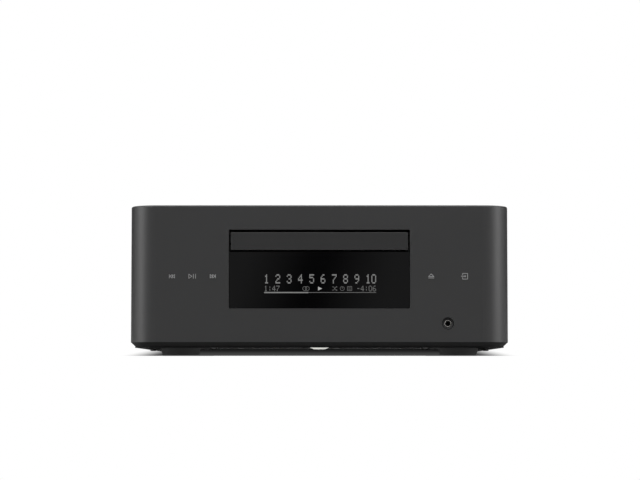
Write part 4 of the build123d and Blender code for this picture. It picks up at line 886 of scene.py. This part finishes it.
def optical_shutter():
    """The hinged shutter at the bottom of the optical socket."""
    low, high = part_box("optical_input")
    x, z = middle_of(low, high)
    half, depth, hinge = 3.3 * mm, 3 * mm, 0.5 * mm
    clear, thickness, rounding = 0.02 * mm, 0.7 * mm, 0.2 * mm
    floor = high.y - depth
    shape = bmesh.new()
    block(shape, (x - half, floor + clear, z - half), (x + half, floor + thickness, z + half - 2 * hinge),
          rounding)
    profile = [(0, -half), (hinge, -half), (hinge, half), (0, half)]
    turned(shape, profile, (x, floor + hinge, z + half - hinge), (1, 0, 0))
    solid("optical_shutter", shape, "cap_black")


def inlet_pins():
    """Metal blades over the three pins of the mains inlet."""
    x, z = middle_of(*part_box("mains_inlet"))
    pitch, offset, skin, rounding = 7 * mm, 2 * mm, 0.06 * mm, 0.6 * mm
    half_width, half_height, floor, length = 1 * mm + skin, 2 * mm + skin, 113.05 * mm, 12 * mm
    shape = bmesh.new()
    for side, lift in ((-1, -offset), (0, offset), (1, -offset)):
        middle = x + side * pitch
        block(shape, (middle - half_width, floor, z + lift - half_height),
              (middle + half_width, floor + length + skin, z + lift + half_height), rounding)
    solid("inlet_pins", shape, "pin_brass")


phono_rings()
aerial_fittings()
network_fittings()
optical_shutter()
inlet_pins()


# Plain printed lines and signs on the rear panel
def rounded_outline(x0, z0, x1, z1):
    """Corner points of a rounded rectangle."""
    radius, steps = 2.5 * mm, 6
    points = []
    corners = ((x1, z1, 0), (x0, z1, 1), (x0, z0, 2), (x1, z0, 3))
    for x, z, quarter in corners:
        inward_x = radius if x == x0 else -radius
        inward_z = radius if z == z0 else -radius
        for step in range(steps + 1):
            angle = (quarter + step / steps) * tau / 4
            points.append((x + inward_x + radius * cos(angle), z + inward_z + radius * sin(angle)))
    return points


def rear_print():
    """Lines round the groups of sockets in mm, and signs over the speaker terminals."""
    groups = [(-60.5, 15, -15.5, 54), (-11, 15, 46.8, 33), (47.6, 15, 60.6, 33), (73.5, 24.5, 126.5, 81.5)]
    rear_line, sign_line, sign_gap, half = 0.35 * mm, 0.6 * mm, 4.2 * mm, 1.5 * mm
    outlines = []
    for group in groups:
        outlines += stroke(rounded_outline(*[edge * mm for edge in group]), rear_line, True)
    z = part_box("speaker_terminal_block")[1].z + sign_gap
    plus = middle_of(*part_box("terminal_cap_1"), "x")[0]
    minus = middle_of(*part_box("terminal_cap_2"), "x")[0]
    for line_ends in ([(plus - half, z), (plus + half, z)], [(plus, z - half), (plus, z + half)],
                      [(minus - half, z), (minus + half, z)]):
        outlines += stroke(line_ends, sign_line)
    flat_sign("rear_outlines", outlines, cabinet_back + sign_lift, ink, 1)


rear_print()


# Small parts of the boards
def board_field(name, x0, y0, x1, y1, z):
    """A flat stretch of a board's top that small parts may stand on."""
    mesh = bpy.data.meshes.new(name)
    mesh.from_pydata([(x0, y0, z), (x1, y0, z), (x1, y1, z), (x0, y1, z)], [], [(0, 1, 2, 3)])
    return mesh


def board_parts():
    """Chips and small parts: the field's corners, the finish, and the spacing, sides and rise in mm."""
    strewn = small_part_tree()
    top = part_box("phono_jacks")[0].z
    power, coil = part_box("power_board"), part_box("transformer")
    amplifier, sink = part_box("amplifier_board"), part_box("heat_sink")
    edge, inlet_clear = 3 * mm, 46 * mm
    fields = {
        "main_board_chips": (-50 * mm, 74 * mm, 50 * mm, 104 * mm, "chip_black", 6.5, 2.0, 5.5, 1.5),
        "main_board_small_parts": (-58 * mm, 6 * mm, 58 * mm, 28 * mm, "part_tan", 3.2, 0.8, 2.2, 1.2),
        "power_board_parts": (power[0].x + edge, power[0].y + inlet_clear, power[1].x - edge,
                              coil[0].y - edge, "part_tan", 4.5, 1.5, 3.2, 5),
        "amplifier_board_parts": (amplifier[0].x + edge, amplifier[0].y + edge, amplifier[1].x - edge,
                                  sink[0].y - edge, "chip_black", 5, 1.5, 3.6, 2),
    }
    for name, (x0, y0, x1, y1, finish, spacing, least, most, rise) in fields.items():
        sizes = {"Spacing": spacing * mm, "Least Side": least * mm, "Most Side": most * mm, "Rise": rise * mm}
        grown(name, strewn, board_field(name, x0, y0, x1, y1, top), sizes, finish)


def transformer_winding():
    """A copper winding round the bobbin, between the two faces of the core."""
    centre = middle_of(*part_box("transformer"), "xyz")
    half, bobbin, groove, wire, turns = 10.6 * mm, 10.02 * mm, 0.1 * mm, 0.55 * mm, 19
    crown_start, crown_end = 0.3, 0.7
    profile = [(bobbin, half), (bobbin, -half)]
    pitch = 2 * half / turns
    for i in range(turns):
        start = -half + i * pitch
        profile += [(bobbin + groove, start), (bobbin + wire, start + pitch * crown_start),
                    (bobbin + wire, start + pitch * crown_end)]
    profile.append((bobbin + groove, half))
    shape = bmesh.new()
    turned(shape, profile, centre, backwards)
    solid("transformer_winding", shape, "winding_copper")


board_parts()
transformer_winding()


# Black felt strips behind the tray's opening: a dark sheet put in for the shade of the gap round the door
opening_low, opening_high = 76.6 * mm, 92.9 * mm
door_high, tray_low = 91.0 * mm, 77.6 * mm
felt_clear, felt_rounding = 0.3 * mm, 0.1 * mm
felt_half, felt_front, felt_rear = 66 * mm, -147.0 * mm, -145.6 * mm
gap_shade_felt = bmesh.new()
for low, high in ((opening_low, tray_low - felt_clear), (door_high + felt_clear, opening_high)):
    block(gap_shade_felt, (-felt_half, felt_front, low), (felt_half, felt_rear, high), felt_rounding)
solid("tray_opening_shade_felt", gap_shade_felt, "felt")


# Floor, studio cards and lights
def stage_plane(name, corners, material):
    mesh = bpy.data.meshes.new(name)
    mesh.from_pydata(corners, [], [tuple(range(len(corners)))])
    mesh.materials.append(material)
    made = placed(name, mesh)
    return made


def hide_from(made, *rays):
    """Rays of these kinds pass the object by."""
    for ray in rays:
        setattr(made, f"visible_{ray}", False)


def bare_material(name):
    """A material without its first shader."""
    made = bpy.data.materials.new(name)
    made.use_nodes = True
    made.node_tree.nodes.remove(made.node_tree.nodes["Principled BSDF"])
    return made, made.node_tree


def mixed(tree, share, first, second):
    """The first surface where the share is nothing, and the second where it is one."""
    made = tree.nodes.new("ShaderNodeMixShader")
    for place, source in enumerate((share, first, second)):
        tree.links.new(source, made.inputs[place])
    return made.outputs["Shader"]


def one_sided(tree, shown, under):
    """The first surface from above and the other from below."""
    backside = output(tree, "ShaderNodeNewGeometry", "Backfacing")
    fill(tree, tree.nodes["Material Output"], Surface=mixed(tree, backside, shown, under))


floor_pale, floor_lift = 0.72, 0.12
floor_near, floor_far = 0.3, 1.1
clear_slant, white_slant = 0.94, 0.97
floor_reach, floor_level = 6.0, -0.02 * mm


def edge_on(tree):
    """One where a plane is seen almost edge on, as the photograph's camera sees it, and nothing elsewhere."""
    slant = output(tree, "ShaderNodeLayerWeight", "Facing")
    return ranged(tree, slant, 0.0, 1.0, clear_slant, white_slant)


def floor_part(name, near, far, white_edge_on):
    """A pale floor that whitens away from the object. From below it is clear, or white where seen edge on."""
    made, tree, shader = new_material(name, Roughness=0.8, Specular_IOR_Level=0.1,
                                      Base_Color=(*grey(floor_pale), 1), Emission_Color=(*grey(1), 1))
    distance = output(tree, "ShaderNodeVectorMath", "Value", {"operation": "LENGTH"}, Vector=own_place(tree))
    lift = ranged(tree, distance, floor_lift, 1.0, floor_near, floor_far)
    camera_ray = output(tree, "ShaderNodeLightPath", "Is Camera Ray")
    fill(tree, shader, Emission_Strength=times(tree, camera_ray, lift))
    under = output(tree, "ShaderNodeBsdfTransparent", "BSDF")
    if white_edge_on:
        white = output(tree, "ShaderNodeEmission", "Emission")
        under = mixed(tree, edge_on(tree), under, white)
    one_sided(tree, shader.outputs["BSDF"], under)
    corners = [(-floor_reach, near), (floor_reach, near), (floor_reach, far), (-floor_reach, far)]
    floor = stage_plane(name, [(x, y, floor_level) for x, y in corners], made)
    hide_from(floor, "diffuse", "shadow")


def place_floor():
    """The camera is just below the table: it sees through the floor's front part, and the rest edge on."""
    floor_part("front_floor", -floor_reach, front_y, False)
    floor_part("back_floor", front_y, floor_reach, True)


def glossy_card(name, corners, brightness):
    """A card that only reflections see. Its brightness is worked out by a function of the tree."""
    made, tree = bare_material(name)
    glow = output(tree, "ShaderNodeEmission", "Emission", Strength=brightness(tree))
    fill(tree, tree.nodes["Material Output"], Surface=glow)
    hide_from(stage_plane(name, corners, made), "camera", "diffuse", "shadow", "transmission")


card_slant, band_offset = radians(-16), 50 * mm
card_dark, card_bright = 0.02, 0.21
card_dark_edge, card_bright_edge = 17 * mm, 120 * mm
even_patch, even_low, even_high = 0.5, 0.02, 0.04
front_card_half, front_card_y, front_card_low, front_card_high = 2.2, -2.2, -1.8, 2.2
back_card_near, back_card_far, back_card_low, back_card_high = (1.95, 0.6), (0.6, 1.9), -0.8, 1.2


def front_card_brightness(tree):
    """Dark along a slanted band in the middle and grey at the sides."""
    turn = output(tree, "ShaderNodeMapping", "Vector", Vector=own_place(tree), Rotation=(0, card_slant, 0),
                  Location=(band_offset, 0, 0))
    across = calculated(tree, "ABSOLUTE", split_place(tree, turn)["X"])
    return ranged(tree, across, card_dark, card_bright, card_dark_edge, card_bright_edge)


def even_dark(tree):
    return ranged(tree, noise(tree, object_place(tree), even_patch), even_low, even_high)


def upright_corners(start, end, low, high):
    """Corners of an upright card between two places in plan."""
    return [(*start, low), (*end, low), (*end, high), (*start, high)]


def place_cards():
    ends = [(side * front_card_half, front_card_y) for side in (-1, 1)]
    glossy_card("front_card", upright_corners(*ends, front_card_low, front_card_high), front_card_brightness)
    for side, name in ((-1, "left_back_card"), (1, "right_back_card")):
        ends = [(side * x, y) for x, y in (back_card_near, back_card_far)]
        glossy_card(name, upright_corners(*ends, back_card_low, back_card_high), even_dark)


shadow_low, shadow_high, shadow_depth = 0.05 * mm, 8.15 * mm, 279.5 * mm
shadow_inner, shadow_outer = 117 * mm, 148 * mm
shadow_front_shade, shadow_back_shade, shade_share = 0.075, 0.014, 0.7


def place_contact_shadow():
    """A painted shadow: the dark sheet that gives the soft dark band the low camera sees between the
    underside and the floor.
    """
    made, tree = bare_material("contact_shadow")
    axes = split_place(tree, own_place(tree))
    fade = ranged(tree, calculated(tree, "ABSOLUTE", axes["X"]), 1.0, 0.0, shadow_inner, shadow_outer)
    fade.node.interpolation_type = "SMOOTHSTEP"
    shade_end = front_y + shade_share * shadow_depth
    shading = ranged(tree, axes["Y"], shadow_front_shade, shadow_back_shade, front_y, shade_end)
    dark = output(tree, "ShaderNodeEmission", "Emission", Strength=shading)
    clear = output(tree, "ShaderNodeBsdfTransparent", "BSDF")
    one_sided(tree, mixed(tree, times(tree, fade, edge_on(tree)), clear, dark), clear)
    back_y = front_y + shadow_depth
    corners = [(-shadow_outer, front_y, shadow_low), (shadow_outer, front_y, shadow_low),
               (shadow_outer, back_y, shadow_high), (-shadow_outer, back_y, shadow_high)]
    hide_from(stage_plane("contact_shadow", corners, made), "diffuse", "glossy", "shadow")


def soft_light(name, place, aim, width, height, power):
    data = bpy.data.lights.new(name, "AREA")
    data.shape = "RECTANGLE"
    data.size = width
    data.size_y = height
    data.energy = power
    made = placed(name, data)
    made.location = place
    made.rotation_euler = (Vector(aim) - Vector(place)).to_track_quat("-Z", "Y").to_euler()
    return made


backdrop_white, room_fill = 1.0, 0.2
aim = (0, 0, 50 * mm)
# Place, aim, width, height and power
lights = {
    "front_light": ((0, -0.38, 0.46), (0, front_y, 60 * mm), 1.3, 0.3, 3.4),
    "left_light": ((-1.25, -0.45, 0.2), aim, 0.6, 1.0, 7.5),
    "right_light": ((1.25, -0.45, 0.2), aim, 0.6, 1.0, 7.5),
    "top_light": ((0, 0.3, 1.8), aim, 1.4, 1.4, 12),
    "back_light": ((0, 1.7, 1.2), aim, 1.6, 0.8, 12),
    "floor_bounce": ((0, 0, -60 * mm), (0, 0, 0), 0.32, 0.32, 0.25),
}


def light_studio():
    world = bpy.data.worlds.new("studio")
    world.use_nodes = True
    bpy.context.scene.world = world
    tree = world.node_tree
    path = add_node(tree, "ShaderNodeLightPath").outputs
    seen = path["Is Camera Ray"]
    for ray in ("Is Glossy Ray", "Is Transmission Ray"):
        seen = calculated(tree, "MAXIMUM", seen, path[ray])
    strength = ranged(tree, seen, room_fill, backdrop_white)
    fill(tree, tree.nodes["Background"], Color=(*grey(1), 1), Strength=strength)
    made = {name: soft_light(name, *values) for name, values in lights.items()}
    hide_from(made["floor_bounce"], "camera")


place_floor()
place_cards()
place_contact_shadow()
light_studio()
bpy.context.scene.view_settings.view_transform = "Standard"

bpy.context.view_layer.update()
